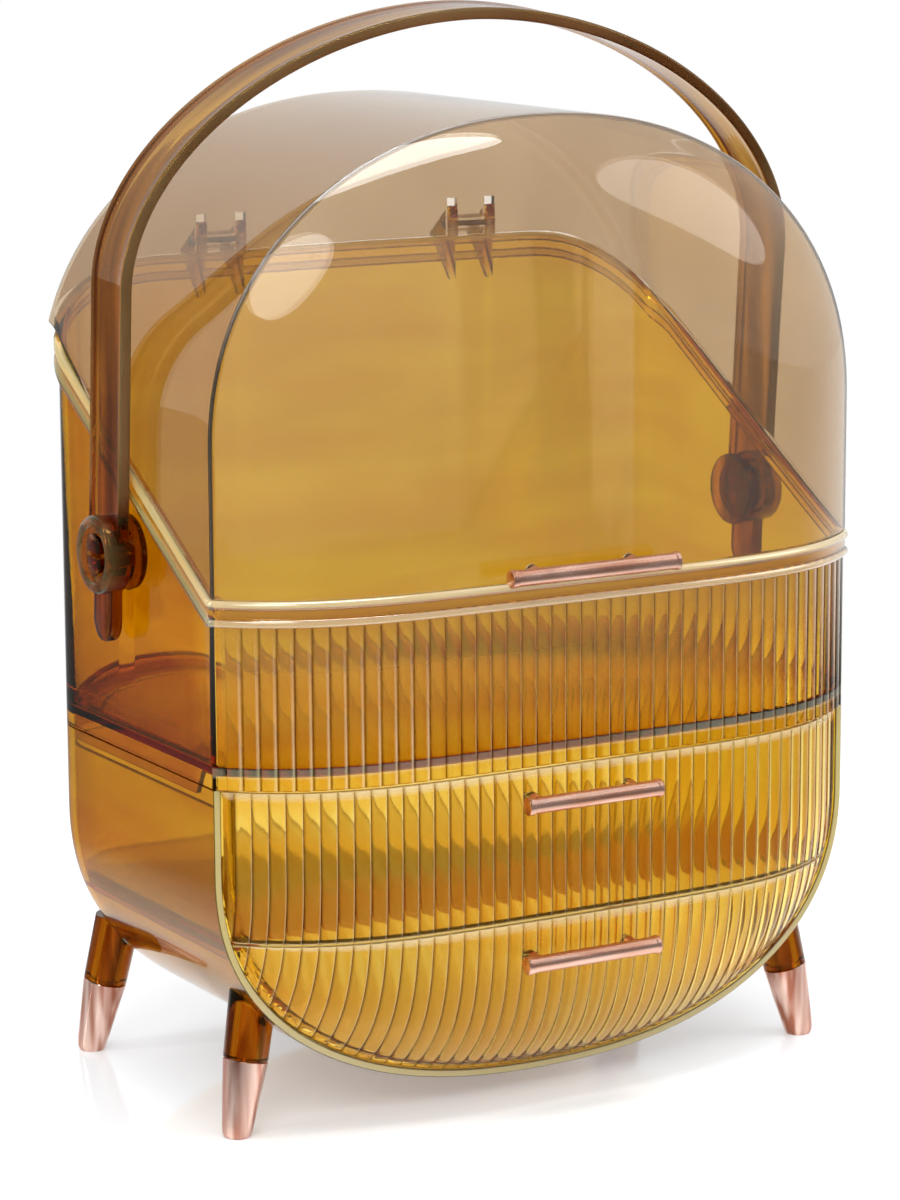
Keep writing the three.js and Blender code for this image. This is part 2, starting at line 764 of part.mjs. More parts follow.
// Drawer bin: walls that follow the shell's inner face, open on top and toward the front
function binShell(z0, z1) {
  const walls = bellyBlock(binOffset).subtract(bellyBlock(binOffset + binThickness));
  return behind(between(walls, z0, z1), binFrontY);
}

function lowerBin() {
  return binShell(0, ledgeTop - ledgeHeight - lowerBinDrop);
}

// The upper bin's flat floor runs forward into the bow of its front
function upperBin() {
  const z0 = shelfTop + runGap;
  const half = halfBody - frontOffset - 2 * frameWidth;
  const tongue = [];
  for (let i = 0; i <= beltSteps; i += 1) {
    const x = half * ((2 * i) / beltSteps - 1);
    const front = frontCornerY - bowAt(drawerReach(x, shelfTop)) + frontThickness + seatGap;
    tongue.push(new THREE.Vector2(x, front));
  }
  tongue.push(new THREE.Vector2(half, binFrontY + frameWidth));
  tongue.push(new THREE.Vector2(-half, binFrontY + frameWidth));
  const floor = behind(between(bellyBlock(binOffset), z0, z0 + binThickness), binFrontY);
  const ahead = alongZ(new THREE.Shape(tongue), z0, z0 + binThickness);
  return joined([binShell(z0, lipBottom - binTopDrop), floor, ahead]);
}

// Lid hood: the arched band with its back panel, slotted for the hinge fins, with two knuckles
function lidHood() {
  const skin = behind(archBlock(0).subtract(archBlock(lidThickness)), frontCornerY);
  let hood = skin.subtract(underRim(runGap));
  for (const x of finPlaces()) {
    const half = finThickness / 2 + runGap;
    const slotFront = backReach - lidThickness - lidBackRadius;
    hood = hood.subtract(block(x - half, x + half, slotFront, farBackY, hingeHeight - overrun, finSlotTop));
  }
  for (const side of sides) {
    const middle = (side * hingeSpacing) / 2;
    const half = finSpacing / 2 - finThickness / 2 - runGap;
    const knuckle = bar("x", knuckleRadius, middle - half, middle + half, roundSides);
    const leafFront = backReach - lidThickness / 2;
    const leafTop = hingeHeight + knuckleRadius;
    const leaf = block(middle - half, middle + half, leafFront, hingeY, hingeHeight, leafTop);
    hood = joined([hood, knuckle.translate([0, hingeY, hingeHeight]), leaf]);
  }
  const pinHole = bar("x", hingePinRadius + seatGap, -halfBody, halfBody);
  return hood.subtract(pinHole.translate([0, hingeY, hingeHeight]));
}

// Lid front: the clear bowed panel inside the arch
function lidFront() {
  const z0 = rimFrontHeight + runGap;
  const rows = evenRows(0, Math.PI / 2, domeRows).map((turn) => z0 + (archTopHeight - z0) * Math.sin(turn));
  const sheet = bowedSheet(plainStations(halfBody), halfBody, rows, lidReach, lidThickness, lidEdgeY);
  const trimmed = sheet.intersect(alongY(archShape(0), farFrontY, lidEdgeY, 0));
  return screwHoles(trimmed, lidPullHeight);
}

// Pin of one lid hinge, with a head at its outer end
function hingePin(side) {
  const middle = hingeSpacing / 2;
  const half = finSpacing / 2 + finThickness / 2 + seatGap;
  const far = middle + half;
  const headEnd = far + hingePinHeadLength;
  const shank = sideBar(side, hingePinRadius, middle - half, far, hingeY, hingeHeight, smallSides);
  return shank.add(sideBar(side, hingePinHeadRadius, far, headEnd, hingeY, hingeHeight, smallSides));
}

// Handle hoop in x and z above its pivot, drawn in by inset
function hoopPoints(inset) {
  const half = handleHalfWidth - inset;
  const spring = handleSpringHeight - pivotHeight;
  const rise = handleTopHeight - handleSpringHeight - inset;
  const points = [new THREE.Vector2(-half, 0)];
  for (let i = 0; i <= 2 * beltSteps; i += 1) {
    const turn = (i / beltSteps) * (Math.PI / 2);
    const across = -Math.cos(turn);
    const x = half * Math.sign(across) * Math.abs(across) ** (2 / handlePower);
    const z = spring + rise * Math.sin(turn) ** (2 / handlePower);
    points.push(new THREE.Vector2(i === beltSteps ? 0 : x, z));
  }
  points.push(new THREE.Vector2(half, 0));
  return points;
}

// Handle: a broad flat hoop ending in two pivot rings with a tongue below each
function handleBow() {
  const shape = new THREE.Shape([...hoopPoints(0), ...hoopPoints(handleThickness).reverse()]);
  const band = new THREE.ExtrudeGeometry(shape, {
    depth: bandWidth - 2 * bandEdge,
    bevelThickness: bandEdge,
    bevelSize: bandEdge,
    bevelOffset: -bandEdge,
    bevelSegments: 1,
    steps: 1,
  });
  band.rotateX(Math.PI / 2);
  band.translate(0, bandWidth / 2 - bandEdge, 0);
  let handle = solid(band);
  const inner = handleHalfWidth - handleThickness;
  const outer = handleHalfWidth + ringProud;
  const tongue = new THREE.Shape();
  tongue.moveTo(tongueWidth / 2, 0);
  tongue.absarc(0, tongueWidth / 2 - tongueDrop, tongueWidth / 2, 0, -Math.PI, true);
  tongue.lineTo(-tongueWidth / 2, 0);
  for (const side of sides) {
    const near = Math.min(side * inner, side * handleHalfWidth);
    const far = Math.max(side * inner, side * handleHalfWidth);
    const ring = sideBar(side, ringRadius, inner, outer - ringEdge, 0, 0);
    const crest = sideBar(side, ringRadius - ringEdge, outer - 2 * ringEdge, outer, 0, 0);
    handle = joined([handle, ring, crest, alongX(tongue, near, far)]);
    handle = handle.subtract(sideBar(side, ringRecessRadius, outer - ringRecessDepth, outer + overrun, 0, 0));
    handle = handle.subtract(sideBar(side, studRadius + runGap, inner - overrun, outer + overrun, 0, 0));
  }
  return handle;
}

// Stud that carries one end of the handle: a flange inside the tray, a shank, and a slit oblong head
function handleStud(side) {
  const headNear = handleHalfWidth + ringProud - ringRecessDepth + seatGap;
  const headFar = headNear + studHeadThickness;
  const flangeFar = halfBody - wallThickness - seatGap;
  const flangeNear = flangeFar - studFlangeThickness;
  const flange = sideBar(side, studFlangeRadius, flangeNear, flangeFar, 0, pivotHeight);
  const shank = sideBar(side, studRadius, flangeNear, headFar, 0, pivotHeight);
  const x0 = Math.min(side * headNear, side * headFar);
  const x1 = Math.max(side * headNear, side * headFar);
  const halfWidth = studHeadWidth / 2;
  const halfHeight = studHeadHeight / 2;
  const head = block(x0, x1, -halfWidth, halfWidth, pivotHeight - halfHeight, pivotHeight + halfHeight);
  const slitNear = headFar - studSlitDepth;
  const slitFar = headFar + overrun;
  const s0 = Math.min(side * slitNear, side * slitFar);
  const s1 = Math.max(side * slitNear, side * slitFar);
  const slitBottom = pivotHeight - studSlit / 2;
  const slit = block(s0, s1, -studHeadWidth, studHeadWidth, slitBottom, slitBottom + studSlit);
  return joined([flange, shank, head]).subtract(slit);
}

// Materials
function plastic(color, roughness, opacity) {
  return new THREE.MeshStandardMaterial({ color, roughness, metalness: 0, transparent: true, opacity });
}

const amber = () => plastic(0xc98a1c, 0.12, 0.55);
const paleAmber = () => plastic(0xdba63c, 0.12, 0.5);
const brownAmber = () => plastic(0x8f5516, 0.14, 0.7);
const clearGrey = () => plastic(0xcdbba2, 0.08, 0.25);
const roseGold = () => new THREE.MeshStandardMaterial({ color: 0xd79a86, roughness: 0.28, metalness: 1 });
const steel = () => new THREE.MeshStandardMaterial({ color: 0xb9b6b0, roughness: 0.35, metalness: 1 });

// Assembly
const organizer = new THREE.Group();

function add(name, body, material, parent = organizer) {
  const mesh = new THREE.Mesh(geometryOf(body), material());
  mesh.name = name;
  parent.add(mesh);
}

add("cabinet_shell", cabinetShell(), amber);
add("mid_shelf", midShelf(), amber);
add("upper_tray", upperTray(), amber);
for (const corner of corners) {
  add(`leg_stem_${corner.name}`, legStem(corner), brownAmber);
  add(`leg_tip_${corner.name}`, legTip(corner), roseGold);
}

const lidFootY = pullFootY(lidReach, lidEdgeY, lidPullHeight);
add("lid_hood", lidHood(), clearGrey);
add("lid_front", lidFront(), clearGrey);
add("lid_pull", pullBar(lidPullLength, lidPullHeight, lidFootY), roseGold);

const upperBottom = splitHeight + splitGap / 2;
const upperTop = seamHeight - frontRevealGap;
const upperRows = evenRows(upperBottom, upperTop, upperRowCount);
const upperFront = drawerFront(upperBottom, upperTop, upperRows);
const upperFootY = pullFootY(drawerReach, frontCornerY, upperPullHeight);
add("upper_drawer_front", screwHoles(upperFront, upperPullHeight), paleAmber);
add("upper_drawer_bin", upperBin(), amber);
add("upper_drawer_pull", pullBar(drawerPullLength, upperPullHeight, upperFootY), roseGold);

const lowerBottom = bellyBottomHeight + frontOffset;
const lowerTop = splitHeight - splitGap / 2;
const lowerRows = crowdedRows(lowerBottom, lowerTop, lowerRowCount);
const lowerFront = drawerFront(lowerBottom, lowerTop, lowerRows);
const lowerFootY = pullFootY(drawerReach, frontCornerY, lowerPullHeight);
add("lower_drawer_front", screwHoles(lowerFront, lowerPullHeight), paleAmber);
add("lower_drawer_bin", lowerBin(), amber);
add("lower_drawer_pull", pullBar(drawerPullLength, lowerPullHeight, lowerFootY), roseGold);

const lidSeatY = screwSeatY(lidReach, lidEdgeY, lidPullHeight, lidThickness);
const upperSeatY = screwSeatY(drawerReach, frontCornerY, upperPullHeight, frontThickness);
const lowerSeatY = screwSeatY(drawerReach, frontCornerY, lowerPullHeight, frontThickness);
const pulls = [
  { name: "lid", height: lidPullHeight, footY: lidFootY, seatY: lidSeatY },
  { name: "upper_drawer", height: upperPullHeight, footY: upperFootY, seatY: upperSeatY },
  { name: "lower_drawer", height: lowerPullHeight, footY: lowerFootY, seatY: lowerSeatY },
];
const handle = new THREE.Group();
handle.position.set(0, 0, pivotHeight);
handle.rotation.x = handleLeanAngle;
organizer.add(handle);
add("handle_bow", handleBow(), brownAmber, handle);
for (const side of sides) {
  const end = side < 0 ? "left" : "right";
  add(`handle_stud_${end}`, handleStud(side), brownAmber);
  add(`hinge_pin_${end}`, hingePin(side), steel);
  for (const pull of pulls) {
    add(`${pull.name}_screw_${end}`, pullScrew(side, pull.height, pull.footY, pull.seatY), steel);
  }
}

// The origin goes to the middle of the whole object's underside
const extent = new THREE.Box3().setFromObject(organizer);
const middle = extent.getCenter(new THREE.Vector3());
organizer.position.set(-middle.x, -middle.y, -extent.min.z);

export default organizer;
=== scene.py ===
# Looks of the dustproof cosmetics organizer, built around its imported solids. Z is up and the front faces -Y.
# Sizes are in millimetres until place() turns them to metres; y = 0 is the plane of the handle's pivots.
import bmesh
import bpy
from bisect import bisect_left
from math import asin, atan2, cos, hypot, log, pi, radians, sin, sqrt
from mathutils import Matrix, Vector


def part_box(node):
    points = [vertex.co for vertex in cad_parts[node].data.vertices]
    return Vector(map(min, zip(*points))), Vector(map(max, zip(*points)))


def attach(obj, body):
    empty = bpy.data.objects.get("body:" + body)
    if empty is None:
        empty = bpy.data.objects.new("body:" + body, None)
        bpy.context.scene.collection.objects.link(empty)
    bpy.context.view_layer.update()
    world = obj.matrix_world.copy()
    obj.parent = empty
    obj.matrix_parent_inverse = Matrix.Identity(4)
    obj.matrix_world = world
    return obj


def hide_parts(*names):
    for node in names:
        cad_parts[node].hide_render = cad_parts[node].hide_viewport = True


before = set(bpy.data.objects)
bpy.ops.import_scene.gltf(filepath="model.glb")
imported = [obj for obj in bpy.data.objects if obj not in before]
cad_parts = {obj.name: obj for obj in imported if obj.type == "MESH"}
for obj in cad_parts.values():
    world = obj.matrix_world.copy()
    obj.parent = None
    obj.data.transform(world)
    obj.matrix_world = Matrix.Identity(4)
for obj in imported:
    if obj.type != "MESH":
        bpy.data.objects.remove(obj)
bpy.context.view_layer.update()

scene = bpy.context.scene

# sizes that several pieces share
shared = {
    "halfWidth": 145.0,
    "frontCornerY": -76.0,  # where the side walls meet the bowed front
    "backY": 80.0,
    "backRadius": 32.0,
    "backSteps": 10,
    "bow": 30.0,  # how far the middle of the front stands ahead of its corners
    "bowPower": 4.8,
    "wall": 3.0,
    "seam": 141.0,  # the tray stands on the cabinet here
    "bellyCentre": 108.5,
    "bellyBottom": 9.0,
    "bellyPower": 2.29,
    "bellySteps": 44,
    "archCentre": 270.0,
    "archTop": 390.0,
    "archPower": 2.14,
    "reeds": 44,
    "reedDepth": 0.9,
    "reedMargin": 5.0,
    "reedFacets": 8,
    "reedSkin": 1.2,  # points this near behind the crests are on the reeded face
    "pivotHeight": 220.96,
    "hingeY": 83.0,
    "hingeHeight": 330.2,
    "hingeSpacing": 118.0,
    "edgePale": 0.7,  # share of painted highlight on free edges: pale colour standing in for the light inside the walls that comes out there
    "flankPale": 0.45,  # and a flank of every reed
    "gap": 0.3,  # between pieces that touch
}
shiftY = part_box("cabinet_shell")[1].y * 1000 - shared["backY"]


def place(x, y, z):
    return Vector((x, y + shiftY, z)) * 0.001


def unit(value):
    return min(max(value, 0.0), 1.0)


def within(value, low, high):
    return low < value < high


# lines of points


# points round (u, v) from one turn to another
def arc(u, v, radius, first, last, steps, start=0):
    turns = [first + (last - first) * k / steps for k in range(start, steps + 1)]
    return [(u + radius * cos(turn), v + radius * sin(turn)) for turn in turns]


# a quarter of a superellipse, from the turn "first" near its side to the end of its rise
def quarter(half, rise, power, first, steps):
    points = []
    for k in range(steps + 1):
        turn = first + (pi / 2 - first) * k / steps
        across = half * max(cos(turn), 0.0) ** (2 / power)
        points.append((across if k < steps else 0.0, rise * sin(turn) ** (2 / power)))
    return points


# the right half of a line and its mirror image; a point on the middle line isn't doubled
def bothSides(right):
    return right + [(-x, v) for x, v in reversed(right[:-1] if right[-1][0] == 0 else right)]


# length run at every point of a line
def lengths(line):
    run = [0.0]
    for a, b in zip(line, line[1:]):
        run.append(run[-1] + hypot(b[0] - a[0], b[1] - a[1]))
    return run


# the step of a rising list that holds a value, and the share of that step before it
def locate(values, value):
    i = min(max(bisect_left(values, value), 1), len(values) - 1)
    return i, (value - values[i - 1]) / (values[i] - values[i - 1])


# meshes


# faces between rows of points; closed rows join their last point to their first
def loft(rows, closedRows=True, closedLoft=False, capped=True):
    width, count = len(rows[0]), len(rows)
    faces = []
    for r in range(count if closedLoft else count - 1):
        s = (r + 1) % count
        for c in range(width if closedRows else width - 1):
            d = (c + 1) % width
            faces.append((r * width + c, r * width + d, s * width + d, s * width + c))
    if capped:
        faces.append(tuple(range(width)))
        faces.append(tuple((count - 1) * width + c for c in range(width)))
    return [p for row in rows for p in row], faces


# a round part turned about a line: its profile of (along, radius) is closed on itself where it is hollow
def turned(profile, start, direction, steps, hollow=False):
    axis = Vector(direction).normalized()
    side = axis.orthogonal().normalized()
    other = axis.cross(side)
    turns = [2 * pi * k / steps for k in range(steps)]
    spokes = [side * cos(turn) + other * sin(turn) for turn in turns]
    rows = [[Vector(start) + axis * along + spoke * radius for spoke in spokes] for along, radius in profile]
    return loft(rows, closedLoft=hollow, capped=not hollow)


# a flat outline run along x or z
def slab(outline, axis, start, end):
    return loft([[(w, u, v) if axis == "x" else (u, v, w) for u, v in outline] for w in (start, end)])


def makeMesh(name, *parts, bevel=0.0):
    shape = bmesh.new()
    for points, faces in parts:
        made = [shape.verts.new(place(*p)) for p in points]
        for face in faces:
            corners = []
            for i in face:
                if made[i] not in corners:
                    corners.append(made[i])
            shape.faces.new(corners)
    bmesh.ops.remove_doubles(shape, verts=shape.verts, dist=0.000002)
    bmesh.ops.dissolve_degenerate(shape, edges=shape.edges, dist=0.000001)
    bmesh.ops.recalc_face_normals(shape, faces=shape.faces)
    if bevel > 0:
        sharp = [e for e in shape.edges if len(e.link_faces) == 2 and e.calc_face_angle(0) > radians(35)]
        bmesh.ops.bevel(
            shape, geom=sharp, offset=bevel * 0.001, segments=2, profile=0.5,
            affect="EDGES", clamp_overlap=True,
        )
    mesh = bpy.data.meshes.new(name)
    shape.to_mesh(mesh)
    shape.free()
    piece = bpy.data.objects.new(name, mesh)
    scene.collection.objects.link(piece)
    return piece


# joins, cuts or trims a piece by a part, or by a scratch piece, which then goes
def combine(piece, how, part, bevel=0.0):
    tool = part if isinstance(part, bpy.types.Object) else makeMesh("tool", part, bevel=bevel)
    modifier = piece.modifiers.new(how, "BOOLEAN")
    modifier.operation = how
    modifier.solver = "EXACT"
    modifier.object = tool
    shown = piece.evaluated_get(bpy.context.evaluated_depsgraph_get())
    mesh = bpy.data.meshes.new_from_object(shown)
    piece.modifiers.clear()
    piece.data = mesh
    bpy.data.objects.remove(tool)


# a value at every point of a piece, which its material reads
def markPoints(piece, name, valueAt):
    marks = piece.data.attributes.new(name, "FLOAT", "POINT")
    for vertex, mark in zip(piece.data.vertices, marks.data):
        x, y, z = (c * 1000 for c in vertex.co)
        mark.value = valueAt(x, y - shiftY, z)


def finish(piece, material, body, nodes, sharpAngle=30):
    mesh = piece.data
    mesh.materials.clear()
    mesh.materials.append(material)
    for face in mesh.polygons:
        face.use_smooth = True
        face.material_index = 0
    mesh.set_sharp_from_angle(angle=radians(sharpAngle))
    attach(piece, body)
    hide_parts(*nodes)


# forms that the pieces share


def bowAt(r):
    return shared["bow"] * (1 - min(r, 1.0) ** shared["bowPower"])


# share of the way from the middle to the edge of the belly or of the arch
def reachAt(x, past, half, rise, power):
    return ((abs(x) / half) ** power + (max(0.0, past) / rise) ** power) ** (1 / power)


def bellySize(inset):
    return shared["halfWidth"] - inset, shared["bellyCentre"] - shared["bellyBottom"] - inset


def bellyReach(x, z, inset):
    return reachAt(x, shared["bellyCentre"] - z, *bellySize(inset), shared["bellyPower"])


def archReach(x, z):
    rise = shared["archTop"] - shared["archCentre"]
    return reachAt(x, z - shared["archCentre"], shared["halfWidth"], rise, shared["archPower"])


def bellyHalf(z, inset):
    half, drop = bellySize(inset)
    below = unit((shared["bellyCentre"] - z) / drop)
    return half * (1 - below ** shared["bellyPower"]) ** (1 / shared["bellyPower"])


# U line of the belly from its right top edge down and round to the left one
def bellyLine(inset, top):
    half, drop = bellySize(inset)
    centre, power = shared["bellyCentre"], shared["bellyPower"]
    start = asin((max(0.0, centre - top) / drop) ** (power / 2))
    right = [(half, top + (centre - top) * k / 4) for k in range(4)] if top > centre else []
    below = quarter(half, drop, power, start, shared["bellySteps"])
    return bothSides(right + [(x, centre - d) for x, d in below])


# stations from the front edge to the flat back, round the back's edge: (inset, y)
def backRound(inset, backRadius, sideYs):
    radius = backRadius - inset
    turnY = shared["backY"] - backRadius
    stations = [(inset, y) for y in sideYs]
    for k in range(shared["backSteps"] + 1):
        turn = pi / 2 * k / shared["backSteps"]
        stations.append((inset + radius * (1 - cos(turn)), turnY + radius * sin(turn)))
    return stations


# an open tub or hood: skins outside and inside, joined along the front edge and the free edges
def skinned(lineAt, inset, thickness, backRadius, sideYs, edgeRound):
    outerStations = backRound(inset, backRadius, sideYs)
    innerStations = backRound(inset + thickness, backRadius, sideYs)
    (outerInset, frontY), (innerInset, _) = outerStations[0], innerStations[0]
    outer = [(outerInset + edgeRound, frontY), (outerInset, frontY + edgeRound)] + outerStations[1:]
    inner = [(innerInset - edgeRound, frontY), (innerInset, frontY + edgeRound)] + innerStations[1:]
    rows = [[(x, y, z) for x, z in lineAt(inset, y, True)] for inset, y in reversed(inner)]
    rows += [[(x, y, z) for x, z in lineAt(inset, y, False)] for inset, y in outer]
    points, faces = loft(rows, closedRows=False)
    width = len(rows[0])
    n = len(outer)
    for k in range(n - 1):
        a, b = n - 1 - k, n + k
        for end in (0, width - 1):
            faces.append((a * width + end, (a - 1) * width + end, (b + 1) * width + end, b * width + end))
    back = (2 * n - 1) * width
    faces.append((0, width - 1, back + width - 1, back))
    return points, faces


# places across the reeds of a front, spaced evenly along its bow: (x, sink behind the crests)
def reedColumns(half):
    samples = 4000
    fine = [-half + 2 * half * k / samples for k in range(samples + 1)]
    run = lengths([(x, bowAt(abs(x) / half)) for x in fine])

    def xAt(length):
        i, share = locate(run, length)
        return fine[i - 1] + (fine[i] - fine[i - 1]) * share

    margin, facets = shared["reedMargin"], shared["reedFacets"]
    pitch = (run[-1] - 2 * margin) / shared["reeds"]
    columns = [(xAt(margin * k / 3), 0.0) for k in range(3)]
    for reed in range(shared["reeds"]):
        middle = margin + pitch * (reed + 0.5)
        for k in range(facets):
            turn = pi * k / facets
            columns.append((xAt(middle - pitch / 2 * cos(turn)), shared["reedDepth"] * (1 - sin(turn))))
    columns.append((xAt(run[-1] - margin), shared["reedDepth"]))
    return columns + [(xAt(run[-1] - margin * (2 - k) / 3), 0.0) for k in range(3)]


# how far a place across a reeded front lies down its groove: 0 on a crest, 1 at the bottom
def grooveAt(columns, x):
    i = min(max(bisect_left(columns, (x, -1.0)), 1), len(columns) - 1)
    (x0, sink0), (x1, sink1) = columns[i - 1], columns[i]
    return (sink0 + (sink1 - sink0) * unit((x - x0) / max(x1 - x0, 0.0001))) / shared["reedDepth"]


# painted highlight: one flank of every reed is coloured pale, on the column beside the groove, where it would
# catch the light
def flankHighlightAt(columns, x):
    facets = shared["reedFacets"]
    i = bisect_left(columns, (x - 0.01, -1.0)) - 3
    return shared["flankPale"] if 0 <= i < facets * shared["reeds"] and i % facets == facets - 1 else 0.0


# the tray's rim, seen from the side
rim = {
    "frontHeight": 214.5,
    "shoulderHeight": 303.0,  # where the slope of the sides runs out
    "backHeight": 325.5,
    "easeY": 62.0,
    "easeLength": 16.0,
    "easeSteps": 16,
    "beyond": 200.0,  # the line is level this far ahead of the tray and behind it
    "crestHalf": 85.0,  # half the level stretch at the back
    "crestFar": 140.4,
    "crestPower": 2.4,
    "collarHeight": 8.5,
    "collarStep": 0.6,
    "bead": 1.9,
    "flangeWidth": 4.6,
    "flangeThickness": 2.6,
}


def rimHeight(y):
    easing = min(max(y - rim["easeY"], 0.0), rim["easeLength"])
    straight = min(max(y, shared["frontCornerY"]), rim["easeY"]) - shared["frontCornerY"]
    run = rim["easeY"] - shared["frontCornerY"] + rim["easeLength"] / 2
    slope = (rim["shoulderHeight"] - rim["frontHeight"]) / run
    return rim["frontHeight"] + slope * (straight + easing - easing**2 / (2 * rim["easeLength"]))


# the rim line of the sides moved square to itself
def rimLine(rise):
    ys = [-rim["beyond"], shared["frontCornerY"]]
    ys += [rim["easeY"] + rim["easeLength"] * k / rim["easeSteps"] for k in range(rim["easeSteps"] + 1)]
    line = [Vector((y, rimHeight(y))) for y in ys + [rim["beyond"]]]
    moved = [Vector((-rim["beyond"], rim["frontHeight"] + rise))]
    for before, here, after in zip(line, line[1:], line[2:]):
        a = (here - before).normalized()
        b = (after - here).normalized()
        along = (a + b).normalized()
        reach = rise / along.dot(b)
        point = Vector((here.x - along.y * reach, here.y + along.x * reach))
        if point.x > moved[-1].x + 0.01:
            moved.append(point)
    return moved + [Vector((rim["beyond"], rim["shoulderHeight"] + rise))]


rimLines = {}


# height over one point of the plan: the side's line, raised toward the middle of the back
def rimAt(x, y, rise):
    key = round(rise, 3)
    if key not in rimLines:
        line = rimLine(rise)
        rimLines[key] = ([p.x for p in line], [p.y for p in line])
    ys, zs = rimLines[key]
    i, _ = locate(ys, y)
    side = zs[i - 1] + (zs[i] - zs[i - 1]) * (y - ys[i - 1]) / (ys[i] - ys[i - 1])
    past = unit((abs(x) - rim["crestHalf"]) / (rim["crestFar"] - rim["crestHalf"]))
    lift = (rim["backHeight"] - rim["shoulderHeight"]) * (1 - past ** rim["crestPower"])
    return side + lift * unit((y - shared["frontCornerY"]) / (rim["easeY"] - shared["frontCornerY"]))


# materials


# an sRGB hex colour as the linear one that shaders take
def colour(hexCode):
    parts = [int(hexCode[i : i + 2], 16) / 255 for i in (1, 3, 5)]
    return tuple(p / 12.92 if p <= 0.04045 else ((p + 0.055) / 1.055) ** 2.4 for p in parts) + (1.0,)


# adds a node: sockets are linked and other values set; numbered keys are for inputs that share a name
def addNode(tree, kind, values=None):
    node = tree.nodes.new("ShaderNode" + kind)
    for key, value in (values or {}).items():
        if isinstance(value, bpy.types.NodeSocket):
            tree.links.new(value, node.inputs[key])
        elif isinstance(key, int) or key in node.inputs:
            node.inputs[key].default_value = value
        else:
            setattr(node, key, value)
    return node


# noise with grains of so many millimetres
def noiseOf(tree, where, grain, values):
    return addNode(tree, "TexNoise", {"Scale": 1000 / grain, "Vector": where, **values}).outputs["Fac"]


def mapRange(tree, value, low, high, toLow=0.0, toHigh=1.0, how="LINEAR"):
    ends = {"interpolation_type": how, "From Min": low, "From Max": high, "To Min": toLow, "To Max": toHigh}
    return addNode(tree, "MapRange", {**ends, "Value": value}).outputs["Result"]


def mixColours(tree, share, a, b, how="MIX"):
    return addNode(tree, "Mix", {"data_type": "RGBA", "blend_type": how, 0: share, 6: a, 7: b}).outputs[2]


def mathOf(tree, how, a, b=0.0, clamp=False):
    return addNode(tree, "Math", {"operation": how, "use_clamp": clamp, 0: a, 1: b}).outputs[0]


def pointMark(tree, name):
    return addNode(tree, "Attribute", {"attribute_name": name}).outputs["Fac"]


def newMaterial(name):
    material = bpy.data.materials.new(name)
    material.use_nodes = True
    material.node_tree.nodes.clear()
    return material, material.node_tree


# clear plastic: "through" is the colour that "depth" millimetres of it let pass
def clearPlastic(name, look):
    material, tree = newMaterial(name)
    where = addNode(tree, "TexCoord").outputs["Object"]
    # slow waves left by the melt's flow, drawn out along the axes that flowStretch makes small
    flowSpace = addNode(tree, "Mapping", {"Scale": look["flowStretch"], "Vector": where}).outputs["Vector"]
    flow = noiseOf(tree, flowSpace, look["flowWidth"], {"Detail": 2.0, "Roughness": 0.45, "Distortion": 0.3})
    # fine polish marks of the mould
    polish = noiseOf(tree, where, look["polishGrain"], {"Detail": 3.0})
    patch = mapRange(tree, flow, 0.35, 0.65)
    tint = mixColours(tree, patch, colour(look["tintLow"]), colour(look["tintHigh"]))
    if "paintedShadeTint" in look:
        # painted shade: the colour of walls beyond this line along one axis is darkened, standing in for the
        # deeper look of more resin seen through
        axis, near, full = look["paintedShadeFrom"]
        past = addNode(tree, "SeparateXYZ", {"Vector": where}).outputs[axis]
        if axis == "X":
            past = mathOf(tree, "ABSOLUTE", past)
        past = mapRange(tree, past, near / 1000, full / 1000)
        tint = mixColours(tree, past, tint, colour(look["paintedShadeTint"]), "MULTIPLY")
    if "groove" in look:
        # painted shade: grooves are darkened in colour, standing in for light that enters them and is bent
        # away
        sunk = mapRange(tree, pointMark(tree, "grooveDepth"), 0.3, 0.85)
        tint = mixColours(tree, sunk, tint, colour(look["groove"]), "MULTIPLY")
    # painted highlight: marked edges are mixed toward a pale colour and let less light through, standing in
    # for the light that runs along inside the walls and comes out there
    edge = pointMark(tree, "paintedHighlightShare")
    tint = mixColours(tree, edge, tint, colour(look["edge"]))
    waves = {"Strength": look["flowBump"], "Distance": look["flowHeight"] / 1000, "Height": flow}
    marks = {"Strength": look["polishBump"], "Distance": 0.00002, "Height": polish}
    marks["Normal"] = addNode(tree, "Bump", waves).outputs["Normal"]
    fine = addNode(tree, "Bump", marks).outputs["Normal"]
    skin = {
        "IOR": look["ior"], "Specular IOR Level": 0.5, "Specular Tint": colour(look["gleam"]),
        "Base Color": tint, "Transmission Weight": mapRange(tree, edge, 0.0, 1.0, 1.0 - look["haze"], 0.25),
        "Roughness": mapRange(tree, polish, 0.3, 0.7, look["roughLow"], look["roughHigh"]), "Normal": fine,
        "Coat IOR": 2.3, "Coat Roughness": 0.06, "Coat Normal": fine,
    }
    if "bead" in look:
        # the rim's beads are buffed and catch a hard bright line
        skin["Coat Weight"] = pointMark(tree, "beadShare")
    ends = {"Surface": addNode(tree, "BsdfPrincipled", skin).outputs["BSDF"]}
    if "through" in look:
        lost = [-log(max(c, 0.001)) / (look["depth"] / 1000) for c in colour(look["through"])[:3]]
        density = max(lost) * 1.02
        kept = tuple(1 - part / density for part in lost) + (1.0,)
        body = addNode(tree, "VolumeAbsorption", {"Color": kept, "Density": density})
        ends["Volume"] = body.outputs["Volume"]
    addNode(tree, "OutputMaterial", ends)
    return material


